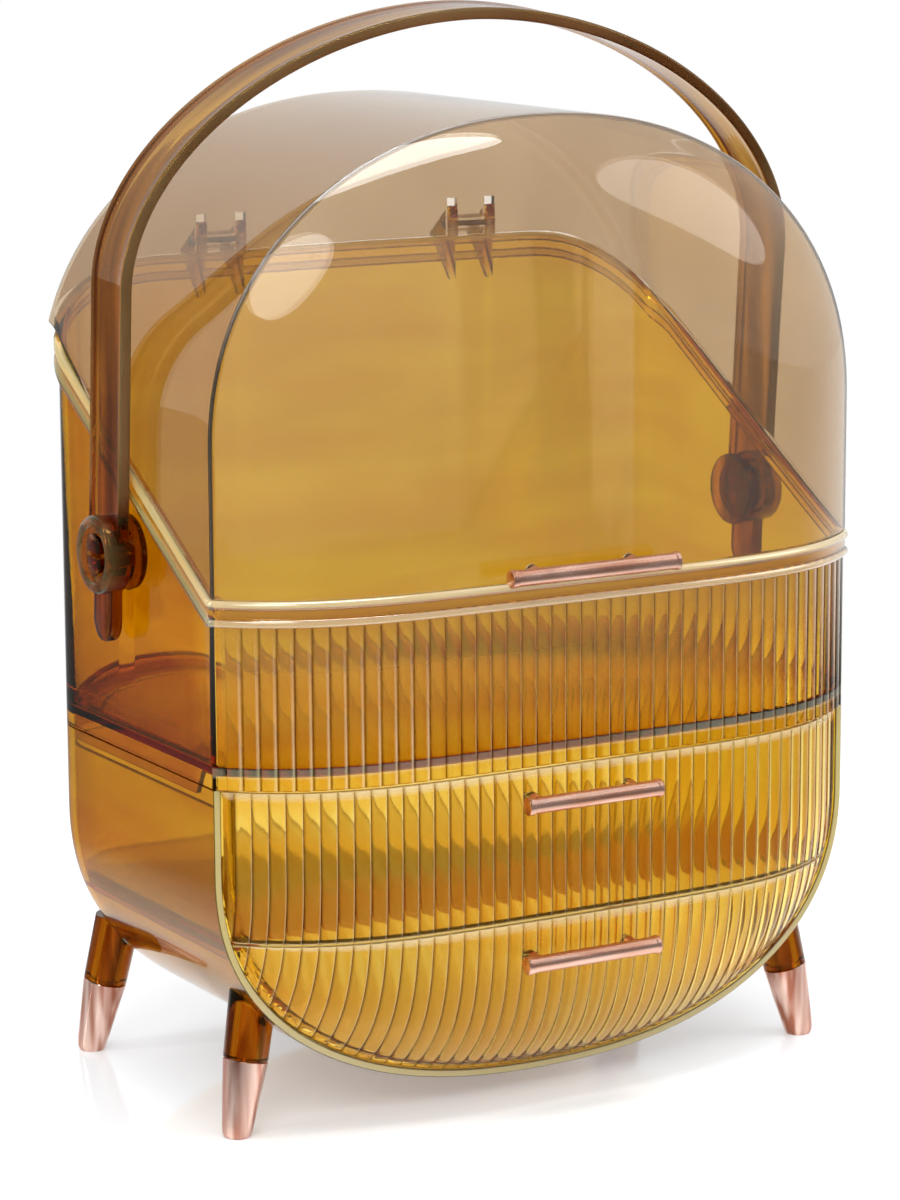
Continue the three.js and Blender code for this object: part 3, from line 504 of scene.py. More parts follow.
# metal with a drawn or plated surface
def metal(name, look):
    material, tree = newMaterial(name)
    where = addNode(tree, "TexCoord").outputs["Object"]
    stretched = addNode(tree, "Mapping", {"Scale": look["stretch"], "Vector": where}).outputs["Vector"]
    grain = noiseOf(tree, stretched, look["grain"], {"Detail": 4.0, "Roughness": 0.6})
    patch = mapRange(tree, noiseOf(tree, stretched, look["cloud"], {"Detail": 1.0}), 0.35, 0.65)
    skin = {
        "Metallic": 1.0,
        "Base Color": mixColours(tree, patch, colour(look["low"]), colour(look["high"])),
        "Roughness": mapRange(tree, grain, 0.3, 0.7, look["roughLow"], look["roughHigh"]),
    }
    bump = {"Strength": look["bump"], "Distance": 0.00003, "Height": grain}
    skin["Normal"] = addNode(tree, "Bump", bump).outputs["Normal"]
    addNode(tree, "OutputMaterial", {"Surface": addNode(tree, "BsdfPrincipled", skin).outputs["BSDF"]})
    return material


# polystyrene, injection moulded in a polished mould: glossy gold with slow flow waves, dark where it is deep
amberLook = {
    "through": "#F3DC92", "depth": 3.0, "ior": 1.49, "gleam": "#F2C060", "edge": "#FBE6A6",
    "tintLow": "#F6E6BE", "tintHigh": "#FFFBEA",
    "flowWidth": 60, "flowStretch": (0.6, 0.6, 3.0), "flowBump": 0.5, "flowHeight": 0.3,
    "polishGrain": 3, "polishBump": 0.3, "roughLow": 0.02, "roughHigh": 0.06, "haze": 0.0,
}
amberStyrene = clearPlastic(
    "amber polystyrene, injection moulded",
    {
        # painted shade: the colour of the tray's walls toward the back is darkened
        **amberLook, "through": "#F6E49C", "paintedShadeTint": "#E4C83C", "paintedShadeFrom": ("Y", -65, -45),
        "groove": "#5A3A10", "bead": True,
    },
)
# the same resin in the wide walls of the cabinet: flatter waves, and painted shade that darkens the colour
# where its sides turn away
shellStyrene = clearPlastic(
    "amber polystyrene, cabinet wall",
    {
        **amberLook, "through": "#F4E09C", "paintedShadeTint": "#DECC5C", "paintedShadeFrom": ("X", 118, 140),
        "flowHeight": 0.25,
    },
)
# the same resin in the thin shelf and bins, which let most light pass and read as straw
thinStyrene = clearPlastic(
    "amber polystyrene, thin wall",
    {**amberLook, "through": "#FDF8E6", "tintLow": "#FFF2C4", "flowHeight": 0.25, "haze": 0.04},
)
# the same resin in the thin reeded drawer fronts: bright gold crests, dark grooves with painted shade, and a
# painted highlight on a flank of every reed
reededStyrene = clearPlastic(
    "pale amber polystyrene, moulded with reeds",
    {
        **amberLook, "through": "#FCF2C6", "depth": 2.6, "groove": "#5A3A10", "tintLow": "#FFF2D4",
        "flowWidth": 50, "flowStretch": (1.0, 1.0, 0.5), "flowBump": 0.25, "flowHeight": 0.2,
    },
)
# deeper golden brown resin of the handle and the studs, with streaks that the melt drew lengthwise
brownStyrene = clearPlastic(
    "brown amber polystyrene, injection moulded",
    {
        **amberLook, "through": "#DAB25E", "depth": 4.8, "tintLow": "#8C6628", "tintHigh": "#F2D690",
        "flowWidth": 11, "flowStretch": (0.1, 1.6, 0.1), "flowBump": 0.6, "flowHeight": 0.12,
    },
)
# the legs' sleeves: the brown resin, drawn upright
sleeveStyrene = clearPlastic(
    "brown amber polystyrene, moulded sleeve",
    {
        **amberLook, "through": "#D2AC58", "depth": 4.8, "tintLow": "#E8C880", "tintHigh": "#FFF8E2",
        "flowWidth": 9, "flowStretch": (1.0, 1.0, 0.1), "flowBump": 0.4, "flowHeight": 0.1,
    },
)
# acrylic, nearly clear: hard colourless reflections, a painted highlight on the cut edges, and painted shade
# that makes the hood's colour warmer and darker than the panel's
clearAcrylic = clearPlastic(
    "warm grey acrylic, injection moulded",
    {
        "ior": 1.49, "gleam": "#FFFFFF", "edge": "#EFE8EA",
        "tintLow": "#E6DACA", "tintHigh": "#F0E6D8", "paintedShadeTint": "#DCCAB0", "paintedShadeFrom": ("Y", -65, -62),
        "flowWidth": 90, "flowStretch": (1.0, 1.0, 1.0), "flowBump": 0.2, "flowHeight": 0.3,
        "polishGrain": 4, "polishBump": 0.2, "roughLow": 0.0, "roughHigh": 0.03, "haze": 0.01,
    },
)
# aluminium, anodised rose gold after drawing: satin, with fine lines along the bar that stretch highlights
roseGold = metal(
    "aluminium, drawn and anodised rose gold",
    {
        "low": "#E0A388", "high": "#F6C8B4", "grain": 1.2, "stretch": (0.12, 1.0, 1.0), "cloud": 3.0,
        "roughLow": 0.16, "roughHigh": 0.30, "bump": 0.35,
    },
)
# zinc alloy, turned and plated rose gold: upright streaks of bright and dusky pink painted into its colour as
# reflections
turnedGold = metal(
    "zinc alloy, turned and plated rose gold",
    {
        "low": "#B0705A", "high": "#FAD6C6", "grain": 0.9, "stretch": (1.0, 1.0, 0.05), "cloud": 4.0,
        "roughLow": 0.12, "roughHigh": 0.28, "bump": 0.3,
    },
)
# steel, zinc plated: bright grey with a slight cloudiness
zincSteel = metal(
    "steel, zinc plated",
    {
        "low": "#B4B2AC", "high": "#CECCC6", "grain": 0.8, "stretch": (1.0, 1.0, 1.0), "cloud": 3.0,
        "roughLow": 0.22, "roughHigh": 0.4, "bump": 0.3,
    },
)
print("materials ready")


# cabinet shell
shell = {
    "edgeRound": 0.5, "edgePale": 0.8, "sideYs": [0.0, 30.0],
    "ledgeWidth": 4.0, "ledgeTop": 76.6, "ledgeHeight": 2.5, "ledgeFront": -72.6,
}


def bellySkin(inset, thickness, frontY, top, edgeRound):
    def lineAt(inset, y, inside):
        return bellyLine(inset, top)

    return skinned(lineAt, inset, thickness, shared["backRadius"], [frontY] + shell["sideYs"], edgeRound)


# plan of a level plate inside the belly, between its front line and the rounded back
def bellyPlate(z, inset, frontY):
    return bothSides([(bellyHalf(z, i), y) for i, y in backRound(inset, shared["backRadius"], [frontY])])


shellSkin = bellySkin(0.0, shared["wall"], shared["frontCornerY"], shared["seam"], shell["edgeRound"])
cabinetShell = makeMesh("shell-moulding", shellSkin)
ledgeBottom = shell["ledgeTop"] - shell["ledgeHeight"]
ledgeMiddle = shell["ledgeTop"] - shell["ledgeHeight"] / 2
ledgeOutline = bellyPlate(ledgeMiddle, shared["wall"] / 2, shell["ledgeFront"])
ledgeHollow = bellyPlate(ledgeMiddle, shared["wall"] + shell["ledgeWidth"], shell["ledgeFront"] - 10)
ledge = makeMesh("ledge", slab(ledgeOutline, "z", ledgeBottom, shell["ledgeTop"]))
combine(ledge, "DIFFERENCE", slab(ledgeHollow, "z", 0, shared["seam"]))
combine(cabinetShell, "UNION", ledge)


# the front edge of the shell and of the hood
def onFrontEdge(y):
    return y < shared["frontCornerY"] + 0.2


# painted highlight: the shell's front edge is marked pale
markPoints(cabinetShell, "paintedHighlightShare", lambda x, y, z: shell["edgePale"] if onFrontEdge(y) else 0.0)
finish(cabinetShell, shellStyrene, "base", ["cabinet_shell"])

# shelf between the drawers
shelf = {"bottom": 76.9, "top": 79.4, "inset": 3.3, "frontY": -72.6, "edgeRound": 0.4}
shelfOutline = bellyPlate((shelf["bottom"] + shelf["top"]) / 2, shelf["inset"], shelf["frontY"])
shelfPlate = slab(shelfOutline, "z", shelf["bottom"], shelf["top"])
midShelf = makeMesh("shelf-plate", shelfPlate, bevel=shelf["edgeRound"])
finish(midShelf, thinStyrene, "base", ["mid_shelf"])
print("cabinet shell and shelf made")

# drawer bins
bins = {
    "inset": 3.4, "thickness": 2.2, "frontY": -72.9, "lowerTop": 73.3, "upperTop": 133.5, "upperFloor": 79.8,
    "cornerRound": 5.0, "cornerSteps": 6, "edgeRound": 0.4,
    "tongueHalf": 131.2, "tongueSteps": 60, "tongueInset": 3.8, "tongueBack": 2.9, "tongueLap": 5.0,
}
lowerShape = bellySkin(bins["inset"], bins["thickness"], bins["frontY"], bins["lowerTop"], bins["edgeRound"])
lowerBin = makeMesh("lower-bin-moulding", lowerShape)
finish(lowerBin, thinStyrene, "lower_drawer", ["lower_drawer_bin"])


# side walls that follow the belly down to a flat floor with rounded corners
def upperBinLine(inset, y, inside):
    floor = bins["upperFloor"] + (bins["thickness"] if inside else 0.0)
    turn = bins["cornerRound"] - (bins["thickness"] if inside else 0.0)
    top, steps = bins["upperTop"], bins["cornerSteps"]
    heights = [top + (floor + turn - top) * k / steps for k in range(steps + 1)]
    right = [(bellyHalf(z, inset), z) for z in heights]
    return bothSides(right + arc(right[-1][0] - turn, floor + turn, turn, 0, -pi / 2, steps, 1))


binSides = [bins["frontY"]] + shell["sideYs"]
upperShape = skinned(
    upperBinLine, bins["inset"], bins["thickness"], shared["backRadius"], binSides, bins["edgeRound"]
)
upperBin = makeMesh("upper-bin-moulding", upperShape)
# its floor runs on under the bowed front
tongue = []
for k in range(bins["tongueSteps"] + 1):
    x = bins["tongueHalf"] * (2 * k / bins["tongueSteps"] - 1)
    behind = bowAt(bellyReach(x, shelf["top"], bins["tongueInset"]))
    tongue.append((x, shared["frontCornerY"] - behind + bins["tongueBack"]))
tongue += [(side * bins["tongueHalf"], bins["frontY"] + bins["tongueLap"]) for side in (1, -1)]
combine(upperBin, "UNION", slab(tongue, "z", bins["upperFloor"], bins["upperFloor"] + bins["thickness"]))
finish(upperBin, thinStyrene, "upper_drawer", ["upper_drawer_bin"])
print("drawer bins made")

# drawer fronts
fronts = {
    "inset": 3.8, "thickness": 2.6, "frameWidth": 5.0, "frameBack": -73.2, "rows": 26, "least": 0.4,
    "lowerTop": 79.4, "upperBottom": 80.6, "upperTop": 140.2,
}


# reeded sheet bowed both ways, with a plain frame along the belly's outline behind it
def reededFront(name, z0, z1):
    inset = fronts["inset"]
    half, drop = bellySize(inset)
    power, centre, edgeY = shared["bellyPower"], shared["bellyCentre"], shared["frontCornerY"]

    def outlineZ(x):
        return centre - drop * max(0.0, 1 - (abs(x) / half) ** power) ** (1 / power)

    widest = bellyHalf(z1, inset)
    everyColumn = reedColumns(half)
    columns = [(x, sink) for x, sink in everyColumn if abs(x) < widest - 0.05]
    columns = [(-widest, columns[0][1])] + columns + [(widest, columns[-1][1])]
    rows = []
    frameStart = 1 - fronts["frameWidth"] / half
    for x, sink in columns:
        bottom = max(z0, outlineZ(x))
        if abs(x) > widest - 0.001:
            bottom = min(bottom, z1 - fronts["least"] if z1 < centre else centre)
        front, back = [], []
        for k in range(fronts["rows"] + 1):
            z = bottom + (z1 - bottom) * (1 - cos(pi / 2 * k / fronts["rows"]))
            r = bellyReach(x, z, inset)
            front.append((x, edgeY - bowAt(r) + sink, z))
            sheet = edgeY + fronts["thickness"] - bowAt(r)
            back.append((x, sheet + (fronts["frameBack"] - sheet) * unit((r - frameStart) / 0.01), z))
        rows.append(front + back[::-1])
    piece = makeMesh(name, loft(rows))

    def outside(x, y, z):
        return y < edgeY - bowAt(bellyReach(x, z, inset)) + shared["reedSkin"]

    # painted highlight: the top and bottom edges and a flank of every reed are marked pale
    def paintedHighlightShare(x, y, z):
        if min(abs(z - z0), abs(z - z1)) < 0.2:
            return shared["edgePale"]
        return flankHighlightAt(everyColumn, x) if outside(x, y, z) else 0.0

    markPoints(piece, "grooveDepth", lambda x, y, z: grooveAt(everyColumn, x) if outside(x, y, z) else 0.0)
    markPoints(piece, "paintedHighlightShare", paintedHighlightShare)
    return piece


upperFront = reededFront("upper-reeded-front", fronts["upperBottom"], fronts["upperTop"])
finish(upperFront, reededStyrene, "upper_drawer", ["upper_drawer_front"], sharpAngle=40)
lowerFront = reededFront("lower-reeded-front", shared["bellyBottom"] + fronts["inset"], fronts["lowerTop"])
finish(lowerFront, reededStyrene, "lower_drawer", ["lower_drawer_front"], sharpAngle=40)
print("drawer fronts made")

# tray
tray = {
    "bottom": 141.3, "floorUnder": 146.5, "floorTop": 149.5, "floorRound": 1.5, "cornerTurn": 1.8,
    "cornerSteps": 6, "sideSteps": 24, "turnSteps": 32, "backSteps": 32,
    "lipBottom": 136.5, "lipInset": 3.3, "lipThickness": 2.0, "lipFrontY": -60.0,
    "finThickness": 4.0, "finFront": 76.0, "finTop": 338.0, "finTip": 2.2, "finFoot": 95.0, "finRound": 0.6,
    "finBracket": 305.5, "finSunk": 1.5, "finSpacing": 18.0,
    "bossRadius": 12.0, "bossEnd": 148.1, "bossRound": 0.6, "studHole": 6.3,
    "pinHole": 2.0, "pinHoleFrom": 40.0, "pinHoleLength": 40.0,
    # marks for the material: how deep the beads reach from the sides and the back, how far below the rim
    # each bead begins and ends, and how strong the painted highlight on the collar's bead and the floor's edge
    # is
    "beadSide": 2.2, "beadBack": 12.0, "beadSpan": (-0.3, 4.6), "collarSpan": (5.9, 12.0),
    "paleSpan": 2.6, "collarPaleSpan": (7.3, 9.5), "collarPale": 0.5, "floorPale": 0.18, "reach": 0.2,
}


# plan of the tray's outer face, anticlockwise from the front's left end: (x, y, normal x, normal y, sink)
def trayPlan():
    half = shared["halfWidth"]
    edgeY, backY, backRadius = shared["frontCornerY"], shared["backY"], shared["backRadius"]
    stations = []
    lastX = half - tray["cornerTurn"]

    def bowPoint(x):
        slope = shared["bow"] * shared["bowPower"] * (abs(x) / half) ** (shared["bowPower"] - 1) / half
        slope = slope if x > 0 else -slope
        size = hypot(slope, 1)
        return x, edgeY - bowAt(abs(x) / half), slope / size, -1 / size

    for x, sink in reedColumns(half):
        if abs(x) < lastX:
            stations.append(bowPoint(x) + (sink,))
    # small round where the bow meets the side wall
    x, y, nx, ny = bowPoint(lastX)
    radius = (half - x) / (1 - nx)
    heading = atan2(nx, -ny)
    middleX, middleY = x - radius * nx, y - radius * ny
    for k in range(tray["cornerSteps"] + 1):
        a = heading + (pi / 2 - heading) * k / tray["cornerSteps"]
        stations.append((middleX + radius * sin(a), middleY - radius * cos(a), sin(a), -cos(a), 0.0))
    sideStart = stations[-1][1]
    turnX, turnY = half - backRadius, backY - backRadius
    for k in range(1, tray["sideSteps"] + 1):
        stations.append((half, sideStart + (turnY - sideStart) * k / tray["sideSteps"], 1.0, 0.0, 0.0))
    for k in range(1, tray["turnSteps"] + 1):
        a = pi / 2 * k / tray["turnSteps"]
        stations.append((turnX + backRadius * cos(a), turnY + backRadius * sin(a), cos(a), sin(a), 0.0))
    right = [s for s in stations if s[0] > lastX - 0.001 or s[1] > sideStart]
    for k in range(1, tray["backSteps"]):
        stations.append((turnX - 2 * turnX * k / tray["backSteps"], backY, 0.0, 1.0, 0.0))
    return stations + [(-x, y, -nx, ny, sink) for x, y, nx, ny, sink in reversed(right)]


# one cross-section of the tray: (inset, height or rise over the rim line, measured from the rim, reeded)
def traySection():
    bead, wall, turn, flange = rim["bead"], shared["wall"], tray["floorRound"], rim["flangeWidth"]
    top, under = tray["floorTop"], tray["floorUnder"]
    meet = atan2(sqrt(bead**2 - rim["collarStep"] ** 2), rim["collarStep"])
    plain = [(wall + turn, top), (wall + turn * 0.3, top + turn * 0.3), (wall, top + turn)]
    rimmed = [(wall, -rim["flangeThickness"]), (flange, -rim["flangeThickness"])]
    rimmed += [(flange, -0.6), (flange - 0.2, -0.2), (flange - 0.6, 0.0)]
    # the bead along the rim and the one along the collar's foot
    for middle, first, steps in ((-bead, pi / 2, 10), (-rim["collarHeight"], meet, 8)):
        for k in range(steps + 1):
            a = first - (pi / 2 + meet) * k / steps
            rimmed.append((-bead * cos(a), middle + bead * sin(a)))
    reeded = [top + 0.8, top, under, under - 0.8, tray["bottom"] + 0.4]
    points = [(inset, z, False, False) for inset, z in plain]
    points += [(inset, z, True, False) for inset, z in rimmed]
    points.append((0.0, -rim["collarHeight"] - bead - 0.05, True, True))
    points += [(0.0, z, False, True) for z in reeded] + [(0.4, tray["bottom"], False, True)]
    foot = [(wall, tray["bottom"]), (wall, under), (tray["lipInset"], under)]
    return points + [(inset, z, False, False) for inset, z in foot]


def trayShape():
    section = traySection()
    lipIn = tray["lipInset"] + tray["lipThickness"]
    rows = []
    for x, y, nx, ny, sink in trayPlan():
        row = []
        for inset, height, fromRim, reeded in section:
            depth = inset + (sink if reeded else 0.0)
            px, py = x - nx * depth, y - ny * depth
            row.append((px, py, rimAt(px, py, height) if fromRim else height))
        lip = tray["lipBottom"] if y > tray["lipFrontY"] else tray["floorUnder"] - 0.05
        for inset, height in ((tray["lipInset"], lip), (lipIn, lip), (lipIn, tray["floorUnder"])):
            row.append((x - nx * inset, y - ny * inset, height))
        rows.append(row)
    points, faces = loft(rows, closedRows=False, closedLoft=True, capped=False)
    width = len(rows[0])
    faces.append(tuple(r * width for r in range(len(rows))))
    faces.append(tuple(r * width + width - 1 for r in range(len(rows))))
    return points, faces


# a round hole of the fins and the lid's knuckles, for the hinge pin of one side
def pinHole(side):
    start = (side * tray["pinHoleFrom"], shared["hingeY"], shared["hingeHeight"])
    return turned([(0, tray["pinHole"]), (tray["pinHoleLength"], tray["pinHole"])], start, (side, 0, 0), 24)


upperTray = makeMesh("tray-moulding", trayShape())
print("tray wall made")
wallMiddle = shared["backY"] - shared["wall"] / 2
finLow = rim["backHeight"] - tray["finSunk"]
front, top, tip = tray["finFront"], tray["finTop"], tray["finTip"]
finOutline = [(front, finLow), (front, top - tip)]
for k in range(1, 7):
    a = pi / 2 * k / 6
    finOutline.append((front + tip * (1 - cos(a)), top - tip * (1 - sin(a))))
finOutline += [(front + 1.6 * tip, top - 0.3), (front + 2 * tip, top - 1.1)]
finOutline += [(tray["finFoot"], rim["backHeight"]), (wallMiddle, tray["finBracket"]), (wallMiddle, finLow)]
reach = tray["bossEnd"] - shared["halfWidth"] + shared["wall"] / 2
boss = [(0, tray["bossRadius"]), (reach - tray["bossRound"], tray["bossRadius"])]
boss.append((reach, tray["bossRadius"] - tray["bossRound"]))
for side in (-1, 1):
    for end in (-1, 1):
        x = side * shared["hingeSpacing"] / 2 + end * tray["finSpacing"] / 2
        fin = slab(finOutline, "x", x - tray["finThickness"] / 2, x + tray["finThickness"] / 2)
        combine(upperTray, "UNION", fin, bevel=tray["finRound"])
    pivot = (side * (shared["halfWidth"] - shared["wall"] / 2), 0, shared["pivotHeight"])
    combine(upperTray, "UNION", turned(boss, pivot, (side, 0, 0), 64))
    studHole = [(-20, tray["studHole"]), (20, tray["studHole"])]
    combine(upperTray, "DIFFERENCE", turned(studHole, pivot, (side, 0, 0), 48))
    combine(upperTray, "DIFFERENCE", pinHole(side))
finish(upperTray, amberStyrene, "base", ["upper_tray"])
trayColumns = reedColumns(shared["halfWidth"])


def onReeds(x, y, z):
    ahead = y < shared["frontCornerY"] - bowAt(abs(x) / shared["halfWidth"]) + shared["reedSkin"]
    return ahead and z < rim["frontHeight"] - rim["collarHeight"] - rim["bead"] - 0.02


def trayBead(x, y, z):
    drop = rimAt(x, y, 0.0) - z
    atSide = abs(x) > shared["halfWidth"] - tray["beadSide"]
    atEnd = y > shared["backY"] - tray["beadBack"] or y < shared["frontCornerY"] + 1
    onBead = within(drop, *tray["beadSpan"]) or within(drop, *tray["collarSpan"])
    return 1.0 if (atSide or atEnd) and onBead else 0.0


# painted highlight: pale colour on the beads, a flank of every reed, and the floor's front edge behind the
# reeds
def trayPaintedHighlight(x, y, z):
    if trayBead(x, y, z):
        drop = rimAt(x, y, 0.0) - z
        if drop < tray["paleSpan"]:
            return shared["edgePale"]
        return tray["collarPale"] if within(drop, *tray["collarPaleSpan"]) else 0.0
    if not onReeds(x, y, z):
        return 0.0
    onFloor = within(z, tray["floorUnder"] - tray["reach"], tray["floorTop"] + tray["reach"])
    return max(flankHighlightAt(trayColumns, x), tray["floorPale"] if onFloor else 0.0)


markPoints(upperTray, "grooveDepth", lambda x, y, z: grooveAt(trayColumns, x) if onReeds(x, y, z) else 0.0)
markPoints(upperTray, "beadShare", trayBead)
markPoints(upperTray, "paintedHighlightShare", trayPaintedHighlight)
print("tray made")

# lid
lid = {
    "thickness": 2.4, "backRadius": 8.0, "rimGap": 0.4, "rimLap": 4.0, "edgeRound": 0.5, "edgeY": -76.3,
    "bottom": 214.9, "points": 150, "archSteps": 80, "panelSteps": 120, "rows": 40,
    "slotHalf": 2.4, "slotTop": 341.2, "slotBottom": 280.0, "slotFront": 69.0, "slotBack": 100.0,
    "knuckle": 3.5, "knuckleHalf": 6.6, "knuckleSteps": 40,
    "leafBottom": 0.13, "leafTop": 2.9, "leafFront": 78.8, "ease": 0.3,  # heights over the hinge's line
    "edgePale": 0.05, "edgePaler": 0.45, "paleFrom": 300.0, "paleOver": 50.0,
}


# arch line at one depth, from the rim on the right over the top to the rim on the left
def archLine(inset, y, inside):
    centre, power = shared["archCentre"], shared["archPower"]
    half, rise = shared["halfWidth"] - inset, shared["archTop"] - centre - inset
    start = rimAt(shared["halfWidth"], y, 0.0) - lid["rimLap"]
    right, first = [], 0.0
    if start < centre:
        right = [(half, start + (centre - start) * k / 12) for k in range(12)]
    else:
        first = asin(((start - centre) / rise) ** (power / 2))
    above = quarter(half, rise, power, first, lid["archSteps"])
    line = bothSides(right + [(x, centre + v) for x, v in above])
    # evenly spaced again, so that every depth has the same number of points
    run = lengths(line)
    even = []
    for k in range(lid["points"] + 1):
        i, share = locate(run, run[-1] * k / lid["points"])
        a, b = line[i - 1], line[i]
        even.append((a[0] + (b[0] - a[0]) * share, a[1] + (b[1] - a[1]) * share))
    return even


# stations along the hood's sides, closer together where the rim eases over
hoodYs = [shared["frontCornerY"] + 12.4 * k for k in range(10)] + [48.0 + 1.5 * k for k in range(16)]
hoodShape = skinned(archLine, 0.0, lid["thickness"], lid["backRadius"], hoodYs, lid["edgeRound"])
lidHood = makeMesh("hood-moulding", hoodShape)
# everything under the tray's rim, to trim the hood by
far, low = 160.0, 150.0
across = [far] + [rim["crestFar"] + (rim["crestHalf"] - rim["crestFar"]) * k / 14 for k in range(15)]
across = [-x for x in across] + across[::-1]
under = []
for y in [-130.0, -79.0, -76.0, -40.0, 0.0, 40.0] + [60.0 + k for k in range(20)] + [110.0]:
    under.append([(x, y, rimAt(x, y, lid["rimGap"])) for x in across] + [(far, y, low), (-far, y, low)])
combine(lidHood, "DIFFERENCE", loft(under))
slotYs = (lid["slotFront"], lid["slotBack"])
slot = [(y, lid["slotBottom"]) for y in slotYs] + [(y, lid["slotTop"]) for y in reversed(slotYs)]
for side in (-1, 1):
    middle = side * shared["hingeSpacing"] / 2
    for end in (-1, 1):
        x = middle + end * tray["finSpacing"] / 2
        combine(lidHood, "DIFFERENCE", slab(slot, "x", x - lid["slotHalf"], x + lid["slotHalf"]))
    # knuckle and leaf are one outline seen from the side, with eased ends
    rows = []
    for end, ease in ((-1, lid["ease"]), (-1, 0.0), (1, 0.0), (1, lid["ease"])):
        x = middle + end * (lid["knuckleHalf"] - lid["ease"] + ease)
        r = lid["knuckle"] - ease
        low, high = lid["leafBottom"] + ease, lid["leafTop"] - ease
        outline = [(lid["leafFront"], shared["hingeHeight"] + up) for up in (high, low)]
        turns = (pi - asin(low / r), 3 * pi - asin(high / r))
        outline += arc(shared["hingeY"], shared["hingeHeight"], r, *turns, lid["knuckleSteps"])
        rows.append([(x, y, z) for y, z in outline])
    combine(lidHood, "UNION", loft(rows))
    combine(lidHood, "DIFFERENCE", pinHole(side))


# painted highlight: the glued edge is painted pale high up, where it stands against the light, and left clear,
# so dark, against the amber lower down
def lidPaintedHighlight(z):
    return lid["edgePale"] + lid["edgePaler"] * unit((z - lid["paleFrom"]) / lid["paleOver"])


markPoints(lidHood, "paintedHighlightShare", lambda x, y, z: lidPaintedHighlight(z) if onFrontEdge(y) else 0.0)
finish(lidHood, clearAcrylic, "lid", ["lid_hood"])


# clear panel bowed both ways inside the arch
def lidPanel():
    half, centre = shared["halfWidth"], shared["archCentre"]
    rise, power = shared["archTop"] - centre, shared["archPower"]
    low, edgeY, steps = lid["bottom"], lid["edgeY"], lid["panelSteps"]
    lap = (1 - lid["thickness"] / shared["bow"]) ** (1 / shared["bowPower"])
    rows = []
    for k in range(steps + 1):
        across = cos(pi * k / steps)
        x = half * abs(across) ** (2 / power) * (1 if across > 0 else -1)
        top = centre + rise * max(sin(pi * k / steps), 0.0) ** (2 / power)
        innerTop = centre + (top - centre) * lap
        front, back = [], []
        for n in range(lid["rows"] + 1):
            share = sin(pi / 2 * n / lid["rows"])
            z = low + (top - low) * share
            front.append((x, edgeY - bowAt(archReach(x, z)), z))
            z = low + (innerTop - low) * share
            back.append((x * lap, min(edgeY + lid["thickness"] - bowAt(archReach(x * lap, z)), edgeY), z))
        rows.append(front + back[::-1])
    return loft(rows)


lidFront = makeMesh("lid-panel", lidPanel())
markPoints(lidFront, "paintedHighlightShare", lambda x, y, z: lidPaintedHighlight(z) if y > lid["edgeY"] - 0.2 else 0.0)
finish(lidFront, clearAcrylic, "lid", ["lid_front"])
print("lid made")

# pulls and their screws
pulls = {
    "radius": 3.3, "capLength": 2.4, "capRadius": 3.65, "spacing": 44.0,
    "postRadius": 2.2, "footRadius": 2.5, "postLength": 5.5,
    "screwRadius": 1.2, "headRadius": 2.7, "headLength": 1.5, "bite": 4.2,
}


def pullPiece(name, length, height, footY, body, node):
    barY = footY - pulls["postLength"] - pulls["radius"]
    cap, capRadius = pulls["capLength"], pulls["capRadius"]
    ends = [(0, 2.9), (0.25, 3.4), (0.6, capRadius), (cap - 0.3, capRadius), (cap, pulls["radius"])]
    ends += [(length - a, b) for a, b in reversed(ends)]
    parts = [turned(ends, (-length / 2, barY, height), (1, 0, 0), 56)]
    reach, post, foot = footY - barY, pulls["postRadius"], pulls["footRadius"]
    for side in (-1, 1):
        profile = [(0.0, post), (reach - 0.9, post), (reach - 0.3, foot), (reach, foot)]
        parts.append(turned(profile, (side * pulls["spacing"] / 2, barY, height), (0, 1, 0), 32))
    finish(makeMesh(name, *parts), roseGold, body, [node])


def screwPiece(name, side, height, footY, seatY, body, node):
    head, shank = pulls["headRadius"], pulls["screwRadius"]
    seat = seatY - footY + pulls["bite"]
    far = seat + pulls["headLength"]
    profile = [(0, 1.0), (0.3, shank), (seat, shank)]
    profile += [(seat, head - 0.2), (seat + 0.2, head), (seat + 0.7, head - 0.2), (seat + 1.2, head - 0.9)]
    profile += [(far, 1.1), (far - 0.1, 0.8), (seat + 0.6, 0.5)]
    start = (side * pulls["spacing"] / 2, footY - pulls["bite"], height)
    finish(makeMesh(name, turned(profile, start, (0, 1, 0), 32)), zincSteel, body, [node])


def drawerReach(x, z):
    return bellyReach(x, z, fronts["inset"])


for owner, length, height, reach, edgeY, thickness, body in (
    ("lid", 76.0, 218.2, archReach, lid["edgeY"], lid["thickness"], "lid"),
    ("upper_drawer", 61.0, 128.6, drawerReach, shared["frontCornerY"], fronts["thickness"], "upper_drawer"),
    ("lower_drawer", 61.0, 65.0, drawerReach, shared["frontCornerY"], fronts["thickness"], "lower_drawer"),
):
    footY = edgeY - bowAt(reach(pulls["spacing"] / 2, height)) - shared["gap"]
    edge = reach(pulls["spacing"] / 2 + pulls["headRadius"], height - pulls["headRadius"])
    seatY = edgeY - bowAt(edge) + thickness + shared["gap"]
    label = owner.replace("_", "-")
    pullPiece(label + "-bar", length, height, footY, body, owner + "_pull")
    for side, word in ((-1, "left"), (1, "right")):
        screwPiece(label + "-" + word + "-screw", side, height, footY, seatY, body, owner + "_screw_" + word)
print("pulls and screws made")

